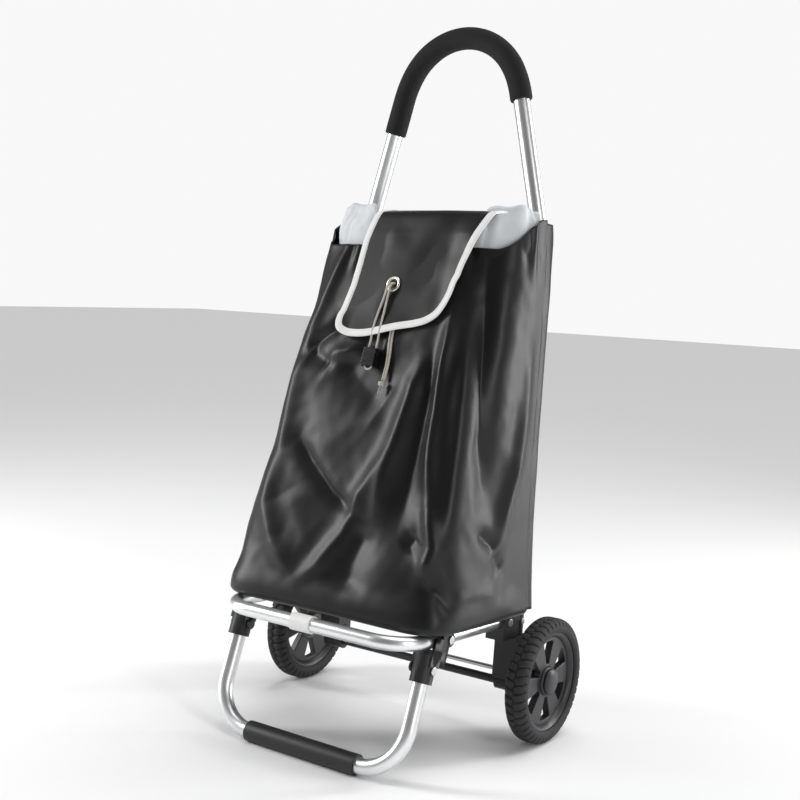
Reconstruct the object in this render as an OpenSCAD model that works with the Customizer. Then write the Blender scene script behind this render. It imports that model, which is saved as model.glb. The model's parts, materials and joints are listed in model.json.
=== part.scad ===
// Folding shopping trolley: aluminium tube frame, hinged platform and stand, two wheels, drawstring bag.
// The pieces are drawn upright in the trolley's own frame: X across, Y back, Z up along the uprights,
// with the axle at the origin. standing() then leans that frame back and sets it on the floor.

/* [Frame] */
// Height of the handle arch's centreline above the axle
handle_rise = 849; // [760:1:1020]
// Outer diameter of the handle tube
handle_tube_d = 22; // [18:0.5:26]
// Wall of the aluminium tubes
tube_wall = 1.5; // [1:0.25:2.5]
// Distance between the centrelines of the two uprights
upright_spacing = 292; // [264:2:352]
// Angle that the frame leans back when it stands
lean = 3; // [0:0.5:6]
// Radius of the top of the handle arch, at the centreline
arch_r = 93; // [84:1:100]
// Angle of the handle legs to the uprights
handle_splay = 14; // [12:0.5:18]
// Wall of the foam grip
grip_wall = 4; // [2.5:0.5:7]

/* [Platform] */
// Outer diameter of the platform tube
platform_tube_d = 18; // [16:0.5:20]
// Distance from the uprights to the centreline of the front bar
platform_depth = 254; // [236:1:306]
// Height of the platform tube's centreline above the axle
platform_rise = 73; // [70:0.5:88]
// Radius of the platform's front corners, at the centreline
platform_corner_r = 48; // [34:1:60]
// Width of the collar on the front bar
collar_w = 32; // [16:1:50]

/* [Stand] */
// Outer diameter of the stand tube
stand_tube_d = 20; // [16:0.5:22]
// Angle of the stand's legs to the uprights
stand_splay = 17; // [12:0.5:22]
// Distance from the uprights to the stand's pivot
stand_pivot_depth = 175; // [165:1:210]
// Radius of the stand's lower corners, at the centreline
stand_corner_r = 58; // [50:1:80]
// Length of the sleeve on the stand's foot
foot_sleeve_l = 174; // [110:1:176]

/* [Wheels] */
// Diameter of the tyre
wheel_d = 165; // [150:1:200]
// Width of the tyre
tyre_w = 30; // [22:1:36]
// Diameter of the rim under the tyre
rim_d = 128; // [112:1:132]
// Distance between the middles of the two tyres
track = 398; // [390:1:478]
// Diameter of the axle rod
axle_d = 6; // [5:0.5:8]
// Number of spokes in a rim
spokes = 6; // [5:1:8]

/* [Bag] */
// Height of the bag's mouth above the axle
bag_rise = 600; // [500:5:720]
// Width of the bag at its base
bag_base_w = 326; // [280:2:390]
// Width of the bag at its mouth
bag_mouth_w = 284; // [236:2:340]
// Depth of the bag at its base
bag_base_depth = 221; // [190:1:240]
// Depth of the bag at its mouth
bag_mouth_depth = 79; // [70:1:94]
// Thickness of the bag's sheet, with its lining
bag_wall = 3; // [2:0.5:4]
// Width of the flap
flap_w = 186; // [150:2:190]
// Length of the flap down the front
flap_drop = 178; // [140:2:215]
// Thickness of the flap
flap_t = 2.4; // [1.5:0.2:3]

/* [Hidden] */

$fn = 64;

// Clearances
run_gap = 0.05;     // radial gap of a pin or shaft that turns
seat_gap = 0.1;     // gap between a tube and the moulding it is pressed into
soft_gap = 0.3;     // gap of soft pieces and of faces that slide apart
far = 400;          // longer than any cut has to be

// Tubes and the handle's path
handle_r = handle_tube_d / 2;
platform_r = platform_tube_d / 2;
stand_r = stand_tube_d / 2;
wheel_r = wheel_d / 2;
axle_r = axle_d / 2;
upright_x = upright_spacing / 2;
upright_end = 12;                 // height of the uprights' lower ends above the axle
arch_turn = 60;                   // angle turned by the top of the arch on each side
shoulder_r = 130;                 // radius of the arch's shoulders
neck_r = 150;                     // radius of the bends at the foot of the handle legs
splay_turn = 90 - handle_splay;   // angle turned where the handle legs run straight
arch_c = [0, handle_rise - arch_r];
arch_end = arch_c + arch_r * [sin(arch_turn), cos(arch_turn)];
shoulder_c = arch_end - shoulder_r * [sin(arch_turn), cos(arch_turn)];
shoulder_end = shoulder_c + shoulder_r * [sin(splay_turn), cos(splay_turn)];
leg_run = (upright_x - neck_r * (1 - sin(splay_turn)) - shoulder_end[0]) / cos(splay_turn);
leg_end = shoulder_end + leg_run * [cos(splay_turn), -sin(splay_turn)];
neck_c = leg_end - neck_r * [sin(splay_turn), cos(splay_turn)];
grip_run_left = 50;               // how far the grip goes down the left leg
grip_run_right = 9;               // and down the right leg
plug_l = 9;                       // depth of the plastic end plugs in their tubes

// Wheel brackets
socket_wall = 3.5;
socket_r = handle_r + socket_wall;
ear_t = 4;
ear_in = platform_r + soft_gap;             // half the gap between a bracket's ears
platform_pivot_depth = 31;                  // distance from the uprights to the platform's pivot
ear_reach = 15;                             // how far the ears reach past the pivot
ledge_l = 9;                                // length of the ledge that the platform rests on
pin_r = 3;                                  // radius of every rivet
pin_head_r = 5.2;
pin_head_t = 2;
boss_r = 9.5;                               // axle boss
bracket_out = 22;                           // from the upright's centreline to the bracket's outer face
bracket_in = 16;                            // and to its inner face
bracket_back = -8;                          // lower end of the bracket's web
cross_bar_r = 5.4;
cross_bar_drop = 15;                        // cross bar's centreline below the axle
lobe_wall = 5.5;
platform_end_depth = 20;                    // distance from the uprights to the platform tube's ends
screw_r = 2.2;

// Stand, in its own frame with the pivot at the origin and the legs along -Z
stand_offset = 25;                          // from the pivot to the legs' centreline
socket_top = 23;                            // the socket's upper end below the pivot
socket_end = 58;                            // and its lower end
stand_socket_wall = 4;
foot_wall = 3.2;
foot_seat = stand_r + foot_wall - 0.7;      // from the foot's centreline to its flat underside
stand_tilt = lean + stand_splay;
stand_drop = (wheel_r + stand_pivot_depth * sin(lean) + platform_rise * cos(lean)
    + stand_offset * sin(stand_tilt) - foot_seat) / cos(stand_tilt);
socket_rivet_drop = 41;
socket_cap_r = 6.5;

// Wheels
hub_r = 15;
hub_in = 15;                                // from the tyre's middle to the hub's inner end
hub_out = 9;                                // and to its outer end
rim_wall = 9;
rim_w = 20;
bush_r = 7;
nut_r = 7;
nut_t = 1.6;
cap_r = 17.5;
cap_t = 7;
cap_room = 4.6;
wheel_x = track / 2;

// Bag and flap
bag_back = socket_r - 0.4;                   // the back panel's distance in front of the uprights
bag_floor = platform_rise + platform_r + 0.5;
bag_corner_r = 26;
sleeve_low = bag_floor + 8;
sleeve_high = neck_c[1] - 6;
sleeve_t = 2.4;
front_slope = (bag_base_depth - bag_mouth_depth) / (bag_rise - bag_floor);
lining_show = 12;                            // how far the lining stands above the bag's edge
lining_depth = 40;
lining_t = 2;
flap_gap = 4.2;                              // room between the bag's front and the flap
flap_top = bag_rise + lining_show + 1;
binding_t = 1.2;                             // how far the tape stands out past the flap's edge
eyelet_drop = 112;                           // eyelet's centre below the flap's top
eyelet_r = 10.5;
eyelet_bore_r = 6.5;
barrel_r = 8;
flange_t = 1;
tunnel_x = 10;                               // middle of the outlet
tunnel_w = 20;
tunnel_h = 8;
tunnel_t = 3.4;

// Cords, at their places in the finished part
cord_r = 1.4;
toggle_route = [
    [-2.2, -2.6, 590.2], [-2.4, -6.9, 591.7], [-2.8, -10.9, 592.4], [-3.4, -14.5, 591], [-4.2, -16.2, 587.4],
    [-5.4, -16.8, 582.2], [-7.2, -18, 574], [-9.4, -20.4, 564.3], [-11.6, -23.8, 552.8], [-13.2, -27.4, 541.5],
    [-14, -31.1, 530.2], [-14, -33.6, 518.4], [-14, -37.5, 506.9], [-14, -41, 495.4], [-14, -44.1, 486.4],
    [-13, -45.1, 483.4], [-10.9, -45.8, 481.4], [-8.4, -46, 480.8], [-5.9, -45.8, 481.4], [-3.8, -45.1, 483.4],
    [-2.8, -44.1, 486.4], [-2.8, -41, 495.4], [-2.8, -37.5, 506.9], [-2.8, -33.6, 518.4], [-2.8, -31.1, 530.2],
    [-2.8, -27.4, 541.5], [-2.6, -23.8, 552.8], [-2.2, -20.4, 564.3], [-1.5, -18, 574], [-0.7, -16.8, 582.2],
    [0.2, -16.2, 587.4], [1, -14.5, 591], [1.4, -10.9, 592.4], [1.6, -6.9, 591.7], [1.8, -2.6, 590.2]];
drawcord_left_route = [
    [8.2, 24.2, 676.1], [8.4, 20.4, 664.7], [9, 14.7, 647.6], [10, 9.1, 630.6], [11.2, 3.4, 613.5],
    [12, -2.2, 596.4], [11.6, -7.9, 579.3], [10.6, -13.5, 562.2], [10, -19.2, 545.2], [10.2, -24.2, 530],
    [11.8, -29.2, 514.8], [13.8, -33.6, 501.5], [15, -38, 488.2], [15.2, -42, 476.9], [15.2, -45.4, 467.8]];
drawcord_right_route = [
    [12.2, 24.2, 676.1], [12.4, 20.4, 664.7], [13, 14.7, 647.6], [14, 9.1, 630.6], [15.2, 3.4, 613.5],
    [16, -2.2, 596.4], [15.6, -7.9, 579.3], [14.6, -13.5, 562.2], [14, -19.2, 545.2], [14.2, -24.2, 530],
    [15.6, -29.2, 514.8], [17.4, -33.6, 501.5], [18.4, -38, 488.2], [18.4, -42, 476.9], [18.2, -45.4, 467.8]];
knot_r = 4.4;
knot_at = [16.8, -49.4, 464];
lock_at = [-8.4, -41, 495.4];                // middle of the cord lock
lock_w = 19;
lock_t = 12;
lock_h = 24;
lock_channel = 4.9;
strand_gap = 11.2;                           // between the two strands in the lock
plunger_w = 5;
plunger_t = 6;
plunger_h = 13;
plunger_show = 4;                            // how far the plunger stands above the barrel
spring_r = 1.8;
spring_wire_r = 0.3;
spring_turns = 4;
spring_seat = 3.5;                           // the plunger's cavity ends this far above the lock's lower end

// Places that depend on how the frame leans
function stand_point(drop, out) = [
    -(stand_pivot_depth + drop * sin(stand_splay) + out * cos(stand_splay)),
    platform_rise - drop * cos(stand_splay) + out * sin(stand_splay)];
function leaned_y(p) = p[0] * cos(lean) + p[1] * sin(lean);
foot_p = stand_point(stand_drop, stand_offset);
front_y = min(leaned_y(foot_p) - stand_r - foot_wall, leaned_y([-platform_depth, platform_rise]) - platform_r - 2);
origin_y = -(front_y + wheel_r) / 2;

aluminium = "gainsboro";
black = "dimgray";
steel = "lightslategray";

// ---- helpers ----

// Sets the upright trolley on the floor, leaning back, with the origin under the middle of its box.
module standing() {
    translate([0, origin_y, wheel_r]) rotate([-lean, 0, 0]) children();
}

// Moves children from the pivot's own frame, legs along -Z, to the stand's place.
module stand_frame() {
    translate([0, -stand_pivot_depth, platform_rise]) rotate([-stand_splay, 0, 0]) children();
}

module both_sides() {
    children();
    mirror([1, 0, 0]) children();
}

module ring(r, bore) {
    difference() {
        circle(r);
        if (bore > 0) circle(bore);
    }
}

// A bent tube in the XZ plane about c, from angle a0 to a1.
module bend_xz(c, bend_r, a0, a1, r, bore) {
    translate([c[0], 0, c[1]]) rotate([90, 0, 0]) rotate([0, 0, a0])
        rotate_extrude(angle = a1 - a0) translate([bend_r, 0]) ring(r, bore);
}

// A rod along X between two distances.
module rod_x(x0, x1, r) {
    translate([x0, 0, 0]) rotate([0, 90, 0]) cylinder(h = x1 - x0, r = r);
}

// Stations along a tube in the XZ plane: each is [x, z, angle of the outward side].
function arc_stations(c, bend_r, a0, a1, steps) = [
    for (i = [0 : steps]) let (a = a0 + (a1 - a0) * i / steps) [c[0] + bend_r * cos(a), c[1] + bend_r * sin(a), a]];
function mirrored(stations) = [
    for (i = [len(stations) - 1 : -1 : 0]) [-stations[i][0], stations[i][1], 180 - stations[i][2]]];
function leg_station(l) = [[
    shoulder_end[0] + l * cos(splay_turn), shoulder_end[1] - l * sin(splay_turn), handle_splay]];
function shoulder_stations() = arc_stations(shoulder_c, shoulder_r, handle_splay, 90 - arch_turn, 3);
function arch_stations() = arc_stations(arch_c, arch_r, 90 - arch_turn, 90 + arch_turn, 18);

// A tube of radius r along the stations, open along a bore.
module swept_tube(stations, r, bore, n = 24) {
    turn = 360 / n;
    last = len(stations) - 1;
    points = [for (radius = [r, bore], s = stations, k = [0 : n - 1])
        [s[0] + radius * cos(k * turn) * cos(s[2]), radius * sin(k * turn), s[1] + radius * cos(k * turn) * sin(s[2])]];
    inner = n * len(stations);
    walls = [for (i = [0 : last - 1], k = [0 : n - 1]) let (j = (k + 1) % n)
        [i * n + k, (i + 1) * n + k, (i + 1) * n + j, i * n + j]];
    bore_walls = [for (w = walls) [for (i = [3 : -1 : 0]) w[i] + inner]];
    ends = [for (k = [0 : n - 1]) let (j = (k + 1) % n) [k, j, inner + j, inner + k]];
    far_ends = [for (e = ends) [for (i = [3 : -1 : 0]) e[i] + last * n]];
    polyhedron(points, concat(walls, bore_walls, ends, far_ends), convexity = 8);
}

// The platform's U, with radius r.
module platform_path(r, bore, end_depth) {
    straight_end = platform_depth - platform_corner_r;
    both_sides() {
        translate([upright_x, -end_depth, platform_rise]) rotate([90, 0, 0])
            linear_extrude(straight_end - end_depth) ring(r, bore);
        translate([upright_x - platform_corner_r, -straight_end, platform_rise]) rotate([0, 0, -90])
            rotate_extrude(angle = 90) translate([platform_corner_r, 0]) ring(r, bore);
    }
    translate([0, -platform_depth, platform_rise]) rotate([0, 90, 0])
        linear_extrude(2 * (upright_x - platform_corner_r), center = true) ring(r, bore);
}

// The stand's U in the stand frame, with radius r.
module stand_path(r, bore, top) {
    half = upright_x - stand_corner_r;
    corner_z = stand_corner_r - stand_drop;
    translate([0, -stand_offset, 0]) {
        both_sides() {
            translate([upright_x, 0, corner_z]) linear_extrude(-top - corner_z) ring(r, bore);
            bend_xz([half, corner_z], stand_corner_r, -90, 0, r, bore);
        }
        translate([0, 0, -stand_drop]) rotate([0, 90, 0]) linear_extrude(2 * half, center = true) ring(r, bore);
    }
}

// ---- fixed frame ----

module handle_tube() {
    side = concat([[upright_x, upright_end, 0]],
        arc_stations(neck_c, neck_r, 0, handle_splay, 3), shoulder_stations());
    color(aluminium) difference() {
        swept_tube(concat(side, arch_stations(), mirrored(side)), handle_r, handle_r - tube_wall);
        both_sides() for (z = screw_heights()) translate([0, 0, z]) rod_x(upright_x, far, screw_r + run_gap);
    }
}

function screw_heights() = [upright_end + 14, bag_floor - 12];

module grip_sleeve() {
    right = concat(leg_station(grip_run_right), shoulder_stations());
    left = concat(mirrored(shoulder_stations()), mirrored(leg_station(grip_run_left)));
    color(black) swept_tube(concat(right, arch_stations(), left), handle_r + grip_wall, handle_r + run_gap);
}

module upright_plugs() {
    color(black) both_sides() translate([upright_x, 0, upright_end])
        cylinder(h = plug_l, r = handle_r - tube_wall - seat_gap);
}

// One bracket, on the +X side. The socket holds the upright, the ears hold the platform tube.
module wheel_bracket() {
    ear_top = platform_r;
    ear_low = -23;
    ear_end = platform_pivot_depth + ear_reach;
    ledge_in = platform_pivot_depth + 4;
    web_top = platform_rise + ear_low + 2;
    difference() {
        union() {
            translate([upright_x, 0, bracket_back]) cylinder(h = bag_floor - 0.5 - bracket_back, r = socket_r);
            // web in front of and around the lower end
            translate([upright_x - bracket_in, -16, bracket_back])
                cube([bracket_in + bracket_out - 4, 28, web_top - bracket_back]);
            // ears
            for (x = [upright_x - ear_in - ear_t, upright_x + ear_in]) {
                translate([x, -ear_end + ear_top, platform_rise + ear_low])
                    cube([ear_t, ear_end - ear_top - 5, ear_top - ear_low]);
                translate([x, -ear_end, platform_rise + ear_low])
                    cube([ear_t, ear_top + 1, -ear_low]);
                translate([x, -ear_end + ear_top, platform_rise]) rod_x(0, ear_t, ear_top);
            }
            // ledge under the platform tube, in front of its pivot
            translate([upright_x - ear_in - ear_t / 2, -ear_end, platform_rise + ear_low])
                cube([2 * ear_in + ear_t, ledge_l, -ear_low - 4]);
            // floor that ties the ears to the web
            translate([upright_x - ear_in - ear_t, -ear_end, platform_rise + ear_low])
                cube([2 * (ear_in + ear_t), ear_end - 10, 4]);
            // axle boss and cross bar lobe
            rod_x(upright_x - bracket_in - 2, upright_x + bracket_out, boss_r);
            translate([0, 0, -cross_bar_drop])
                rod_x(upright_x - bracket_in, upright_x + bracket_out - 8, cross_bar_r + lobe_wall);
        }
        // the upright's seat
        translate([upright_x, 0, upright_end]) cylinder(h = far, r = handle_r + run_gap);
        // room for the platform tube as it folds up
        translate([0, 0, platform_rise]) translate([upright_x, -ledge_in, 0]) rotate([90, 0, 0])
            cylinder(h = far, r = platform_r + soft_gap);
        translate([0, -platform_pivot_depth, platform_rise])
            rod_x(upright_x - ear_in, upright_x + ear_in, platform_pivot_depth - handle_r - 3.8);
        translate([0, -platform_pivot_depth, platform_rise])
            rod_x(upright_x - far, upright_x + far, pin_r + seat_gap / 2);
        rod_x(0, 2 * upright_x, axle_r + run_gap);
        translate([0, 0, -cross_bar_drop]) rod_x(0, upright_x + 2, cross_bar_r + run_gap);
        translate([0, 0, -cross_bar_drop]) rod_x(0, 2 * upright_x, screw_r + run_gap);
        for (z = screw_heights()) translate([0, 0, z]) rod_x(upright_x, 2 * upright_x, screw_r + run_gap);
    }
}

module wheel_bracket_right() {
    color(black) wheel_bracket();
}

module wheel_bracket_left() {
    color(black) mirror([1, 0, 0]) wheel_bracket();
}

// A screw along -X, with its head's underside at x.
module pin(x, l, r, head_r, head_t) {
    rod_x(x - l, x, r);
    rod_x(x, x + head_t, head_r);
}

module bracket_screws() {
    seats = [bracket_out - 4, socket_r];
    color(steel) both_sides() for (i = [0, 1]) translate([0, 0, screw_heights()[i]])
        pin(upright_x + seats[i], seats[i] - handle_r + 6, screw_r, 4, 1.8);
}

module axle() {
    end = wheel_x + hub_out + nut_t + 1.4;
    color(steel) rod_x(-end, end, axle_r);
}

module cross_bar() {
    color(black) difference() {
        translate([0, 0, -cross_bar_drop]) rod_x(-(upright_x + 1.5), upright_x + 1.5, cross_bar_r);
        both_sides() translate([0, 0, -cross_bar_drop])
            rod_x(upright_x - 12, upright_x + 2, screw_r + run_gap);
    }
}

module cross_bar_screws() {
    color(steel) both_sides() translate([0, 0, -cross_bar_drop])
        pin(upright_x + bracket_out - 8, bracket_out + 2, screw_r, 4.2, 1.8);
}

module axle_spacers() {
    color(black) both_sides() difference() {
        rod_x(upright_x + bracket_out + seat_gap, wheel_x - hub_in - soft_gap, bush_r);
        rod_x(0, 2 * wheel_x, axle_r + run_gap);
    }
}

module axle_push_nuts() {
    color(steel) both_sides() difference() {
        rod_x(wheel_x + hub_out + soft_gap, wheel_x + hub_out + soft_gap + nut_t, nut_r);
        rod_x(0, 2 * wheel_x, axle_r + run_gap / 5);
    }
}

// A rivet through a tube between two cheeks, centred on the uprights' plane.
module cheek_rivet(in, out) {
    rod_x(upright_x - in, upright_x + out, pin_r);
    rod_x(upright_x + out, upright_x + out + pin_head_t, pin_head_r);
    rod_x(upright_x - in - pin_head_t, upright_x - in, pin_head_r);
}

module platform_rivets() {
    reach = ear_in + ear_t;
    color(steel) both_sides() translate([0, -platform_pivot_depth, platform_rise]) cheek_rivet(reach, reach);
}

// ---- folding platform ----

module platform_tube() {
    color(aluminium) difference() {
        platform_path(platform_r, platform_r - tube_wall, platform_end_depth);
        both_sides() for (y = [platform_pivot_depth, stand_pivot_depth])
            translate([0, -y, platform_rise]) rod_x(0, 2 * upright_x, pin_r + run_gap);
    }
}

module platform_end_plugs() {
    plug = platform_pivot_depth - platform_end_depth - pin_r - 1.5;
    color(black) both_sides() translate([upright_x, -platform_end_depth, platform_rise]) rotate([90, 0, 0])
        cylinder(h = plug, r = platform_r - tube_wall - seat_gap);
}

module bar_collar() {
    color("white") translate([-8, -platform_depth, platform_rise]) rotate([0, 90, 0])
        linear_extrude(collar_w, center = true) ring(platform_r + 2, platform_r + run_gap);
}

module stand_rivets() {
    color(steel) both_sides() translate([0, -stand_pivot_depth, platform_rise])
        cheek_rivet(platform_r + soft_gap, platform_r + soft_gap + ear_t + soft_gap);
}

// ---- folding stand ----

module stand_tube() {
    color(aluminium) stand_frame() difference() {
        stand_path(stand_r, stand_r - tube_wall, socket_top + 6);
        both_sides() translate([0, -stand_offset, -socket_rivet_drop])
            rod_x(0, 2 * upright_x, pin_r + run_gap);
    }
}

// One bracket, on the +X side: a socket for the leg, a saddle under the platform tube, and an arm to the pivot.
module stand_bracket() {
    cheek = platform_r + soft_gap;
    socket_out = stand_r + stand_socket_wall;
    difference() {
        union() {
            stand_frame() {
                translate([upright_x, -stand_offset, -socket_end])
                    cylinder(h = socket_end - socket_top, r = socket_out);
                // saddle block
                translate([upright_x - socket_out, -stand_offset - 9, -socket_top - 14])
                    cube([2 * socket_out, 20, 20]);
                // arm down from the pivot
                translate([upright_x + cheek, -stand_offset, -socket_top - 12])
                    cube([ear_t, stand_offset, socket_top + 6]);
                translate([upright_x + cheek, -stand_offset - 6, -socket_top - 8])
                    cube([ear_t, 20, socket_top + 6]);
            }
            translate([upright_x + cheek, -stand_pivot_depth - 16, platform_rise - platform_r])
                cube([ear_t, 16, 2 * platform_r]);
            translate([0, -stand_pivot_depth, platform_rise]) rod_x(upright_x + cheek, upright_x + cheek + ear_t, platform_r);
        }
        platform_path(cheek, 0, stand_pivot_depth - 40);
        // room above the saddle for the bag
        translate([0, -far, platform_rise + platform_r]) cube([far, far, far]);
        stand_frame() {
            translate([upright_x, -stand_offset, -far]) cylinder(h = far - socket_top - 6, r = stand_r + run_gap);
            translate([0, -stand_offset, -socket_rivet_drop]) rod_x(0, 2 * upright_x, pin_r + run_gap);
        }
        translate([0, -stand_pivot_depth, platform_rise]) rod_x(0, 2 * upright_x, pin_r + run_gap);
    }
}

module stand_bracket_right() {
    color(black) stand_bracket();
}

module stand_bracket_left() {
    color(black) mirror([1, 0, 0]) stand_bracket();
}

module foot_sleeve() {
    color(black) stand_frame() translate([0, -stand_offset, -stand_drop]) difference() {
        rod_x(-foot_sleeve_l / 2, foot_sleeve_l / 2, stand_r + foot_wall);
        rod_x(-far, far, stand_r + run_gap);
        rotate([stand_tilt, 0, 0]) translate([-far / 2, -far / 2, -foot_seat - far]) cube(far);
    }
}

module socket_rivets() {
    out = stand_r + stand_socket_wall;
    color(steel) stand_frame() both_sides() translate([0, -stand_offset, -socket_rivet_drop]) {
        rod_x(upright_x - out, upright_x + out, pin_r);
        rod_x(upright_x + out, upright_x + out + pin_head_t, pin_head_r);
    }
}

module socket_caps() {
    out = stand_r + stand_socket_wall;
    color(black) stand_frame() both_sides() translate([0, -stand_offset, -socket_rivet_drop])
        rod_x(upright_x - out - 4, upright_x - out, socket_cap_r);
}

// ---- wheels, drawn on the +X side ----

module tyre() {
    shoulder = 6;
    half = tyre_w / 2;
    color(black) translate([wheel_x, 0, 0]) rotate([0, 90, 0]) rotate_extrude($fn = 96) polygon([
        [rim_d / 2 + run_gap, -half + 3], [rim_d / 2 + 4, -half], [wheel_r - shoulder, -half],
        [wheel_r - 1.5, -half + shoulder - 1], [wheel_r, -half + shoulder + 3],
        [wheel_r, half - shoulder - 3], [wheel_r - 1.5, half - shoulder + 1],
        [wheel_r - shoulder, half], [rim_d / 2 + 4, half], [rim_d / 2 + run_gap, half - 3]]);
}

module rim() {
    spoke_w = 13;
    spoke_t = 12;
    color(black) translate([wheel_x, 0, 0]) rotate([0, 90, 0]) difference() {
        union() {
            translate([0, 0, -rim_w / 2]) linear_extrude(rim_w) ring(rim_d / 2, rim_d / 2 - rim_wall);
            translate([0, 0, -hub_in]) cylinder(h = hub_in + hub_out, r = hub_r);
            for (i = [0 : spokes - 1]) rotate([0, 0, i * 360 / spokes])
                translate([hub_r - 3, -spoke_w / 2, -spoke_t / 2])
                    cube([rim_d / 2 - rim_wall - hub_r + 5, spoke_w, spoke_t]);
        }
        translate([0, 0, -far / 2]) cylinder(h = far, r = bush_r + run_gap);
    }
}

module hub_bush() {
    color("silver") difference() {
        rod_x(wheel_x - hub_in, wheel_x + hub_out, bush_r);
        rod_x(0, 2 * wheel_x, axle_r + run_gap);
    }
}

module hub_cap() {
    color(black) difference() {
        rod_x(wheel_x + hub_out, wheel_x + hub_out + cap_t, cap_r);
        rod_x(wheel_x + hub_out, wheel_x + hub_out + cap_room, nut_r + 2);
    }
}

module tyre_right() { tyre(); }
module rim_right() { rim(); }
module hub_bush_right() { hub_bush(); }
module hub_cap_right() { hub_cap(); }
module tyre_left() { mirror([1, 0, 0]) tyre(); }
module rim_left() { mirror([1, 0, 0]) rim(); }
module hub_bush_left() { mirror([1, 0, 0]) hub_bush(); }
module hub_cap_left() { mirror([1, 0, 0]) hub_cap(); }

// ---- bag ----

function bag_depth(z) = bag_base_depth - front_slope * (z - bag_floor);
function bag_half(z) = (bag_base_w + (bag_mouth_w - bag_base_w) * (z - bag_floor) / (bag_rise - bag_floor)) / 2;

// The bag's outline between two heights, taken in by the given amount.
module bag_form(z0, z1, inset) {
    hull() for (z = [z0, z1], side = [-1, 1], y = [0, 1]) {
        r = bag_corner_r - inset;
        back = -bag_back - bag_corner_r;
        front = -bag_back - bag_depth(z) + bag_corner_r;
        translate([side * (bag_half(z) - bag_corner_r), y == 0 ? back : front, z - (z == z1 ? 0.01 : 0)])
            cylinder(h = 0.01, r = r, $fn = 32);
    }
}

module bag_shell() {
    color("black") difference() {
        bag_form(bag_floor, bag_rise, 0);
        bag_form(bag_floor + bag_wall, bag_rise + 1, bag_wall);
    }
}

module mouth_lining() {
    out = bag_wall + soft_gap;
    color("lightgray") difference() {
        bag_form(bag_rise - lining_depth, bag_rise + lining_show, out);
        bag_form(bag_rise - lining_depth - 1, bag_rise + lining_show + 1, out + lining_t);
    }
}

module upright_sleeve() {
    translate([upright_x, 0, sleeve_low]) linear_extrude(sleeve_high - sleeve_low)
        ring(handle_r + sleeve_t + run_gap, handle_r + run_gap);
}

module upright_sleeve_right() {
    color("black") upright_sleeve();
}

module upright_sleeve_left() {
    color("black") mirror([1, 0, 0]) upright_sleeve();
}

// The strip that is sewn to the back panel and carries the flap's hinge line.
module flap_anchor() {
    color("black") translate([-flap_w / 2, -bag_back, bag_rise - 30]) cube([flap_w, flap_t, 29]);
}

// Moves children to the bag's front at height z, with -Y out of the front and +Z up along it.
module on_front(z) {
    translate([0, -bag_back - bag_depth(z), z]) rotate([-atan(front_slope), 0, 0]) children();
}

// The hem's outlet, which the drawcord's ends come out of.
module drawcord_tunnel() {
    color("black") on_front(bag_rise - tunnel_h / 2 - 3)
        translate([tunnel_x - tunnel_w / 2, -tunnel_t, -tunnel_h / 2]) cube([tunnel_w, tunnel_t - soft_gap, tunnel_h]);
}

// ---- flap ----

// The flap's section in the YZ plane: over the top from the hinge, and down the front.
module flap_section() {
    front = -bag_back - bag_depth(flap_top - 6) - flap_gap;
    low = flap_top - flap_drop;
    low_y = -bag_back - bag_depth(low) - flap_gap;
    back = flap_t - bag_back;
    polygon([
        [back, bag_rise], [back, flap_top - 4], [back - 4, flap_top + flap_t],
        [front + 4, flap_top + flap_t], [front - flap_t, flap_top - 6], [low_y - flap_t, low],
        [low_y, low], [front, flap_top - 6],
        [front + 5, flap_top], [back - 5, flap_top], [back - flap_t, flap_top - 5], [back - flap_t, bag_rise]]);
}

module flap_slab(x0, x1) {
    translate([x0, 0, 0]) rotate([90, 0, 90]) linear_extrude(x1 - x0) flap_section();
}

// Puts children on the flap's inner face at the eyelet, with +Z out of the face.
module at_eyelet() {
    translate([0, -flap_gap, 0]) on_front(flap_top - eyelet_drop) rotate([90, 0, 0]) children();
}

module flap_panel() {
    color("black") difference() {
        flap_slab(-flap_w / 2 + binding_t, flap_w / 2 - binding_t);
        at_eyelet() translate([0, 0, -20]) cylinder(h = 40, r = barrel_r + run_gap);
    }
}

// The light tape round the flap's two sides.
module flap_binding() {
    color("whitesmoke") both_sides() flap_slab(flap_w / 2 - binding_t, flap_w / 2);
}

module eyelet() {
    color("silver") at_eyelet() difference() {
        union() {
            translate([0, 0, flap_t]) cylinder(h = flange_t, r = eyelet_r);
            cylinder(h = flap_t, r = barrel_r);
        }
        translate([0, 0, -10]) cylinder(h = 20, r = eyelet_bore_r);
    }
}

// ---- cords ----

function unit(v) = v / norm(v);
function route_dir(p, i) = unit(p[min(i + 1, len(p) - 1)] - p[max(i - 1, 0)]);

// A closed tube of radius r along the points p, with n sides.
module cord_tube(p, r, n = 8) {
    side = [1, 0, 0];
    rings = [for (i = [0 : len(p) - 1]) let (
        d = route_dir(p, i),
        up = unit(cross(d, abs(d[0]) > 0.7 ? [0, 1, 0] : side)),
        out = cross(up, d))
        for (k = [0 : n - 1]) p[i] + r * (cos(k * 360 / n) * out + sin(k * 360 / n) * up)];
    walls = [for (i = [0 : len(p) - 2], k = [0 : n - 1])
        [i * n + k, i * n + (k + 1) % n, (i + 1) * n + (k + 1) % n, (i + 1) * n + k]];
    polyhedron(rings, concat(walls, [[for (k = [n - 1 : -1 : 0]) k]],
        [[for (k = [0 : n - 1]) (len(p) - 1) * n + k]]), convexity = 6);
}

module toggle_cord() {
    color("darkgray") cord_tube(toggle_route, cord_r);
}

module drawcord_left() {
    color("darkgray") cord_tube(drawcord_left_route, cord_r);
}

module drawcord_right() {
    color("darkgray") cord_tube(drawcord_right_route, cord_r);
}

module drawcord_knot() {
    color("darkgray") translate(knot_at) sphere(r = knot_r);
}

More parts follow.
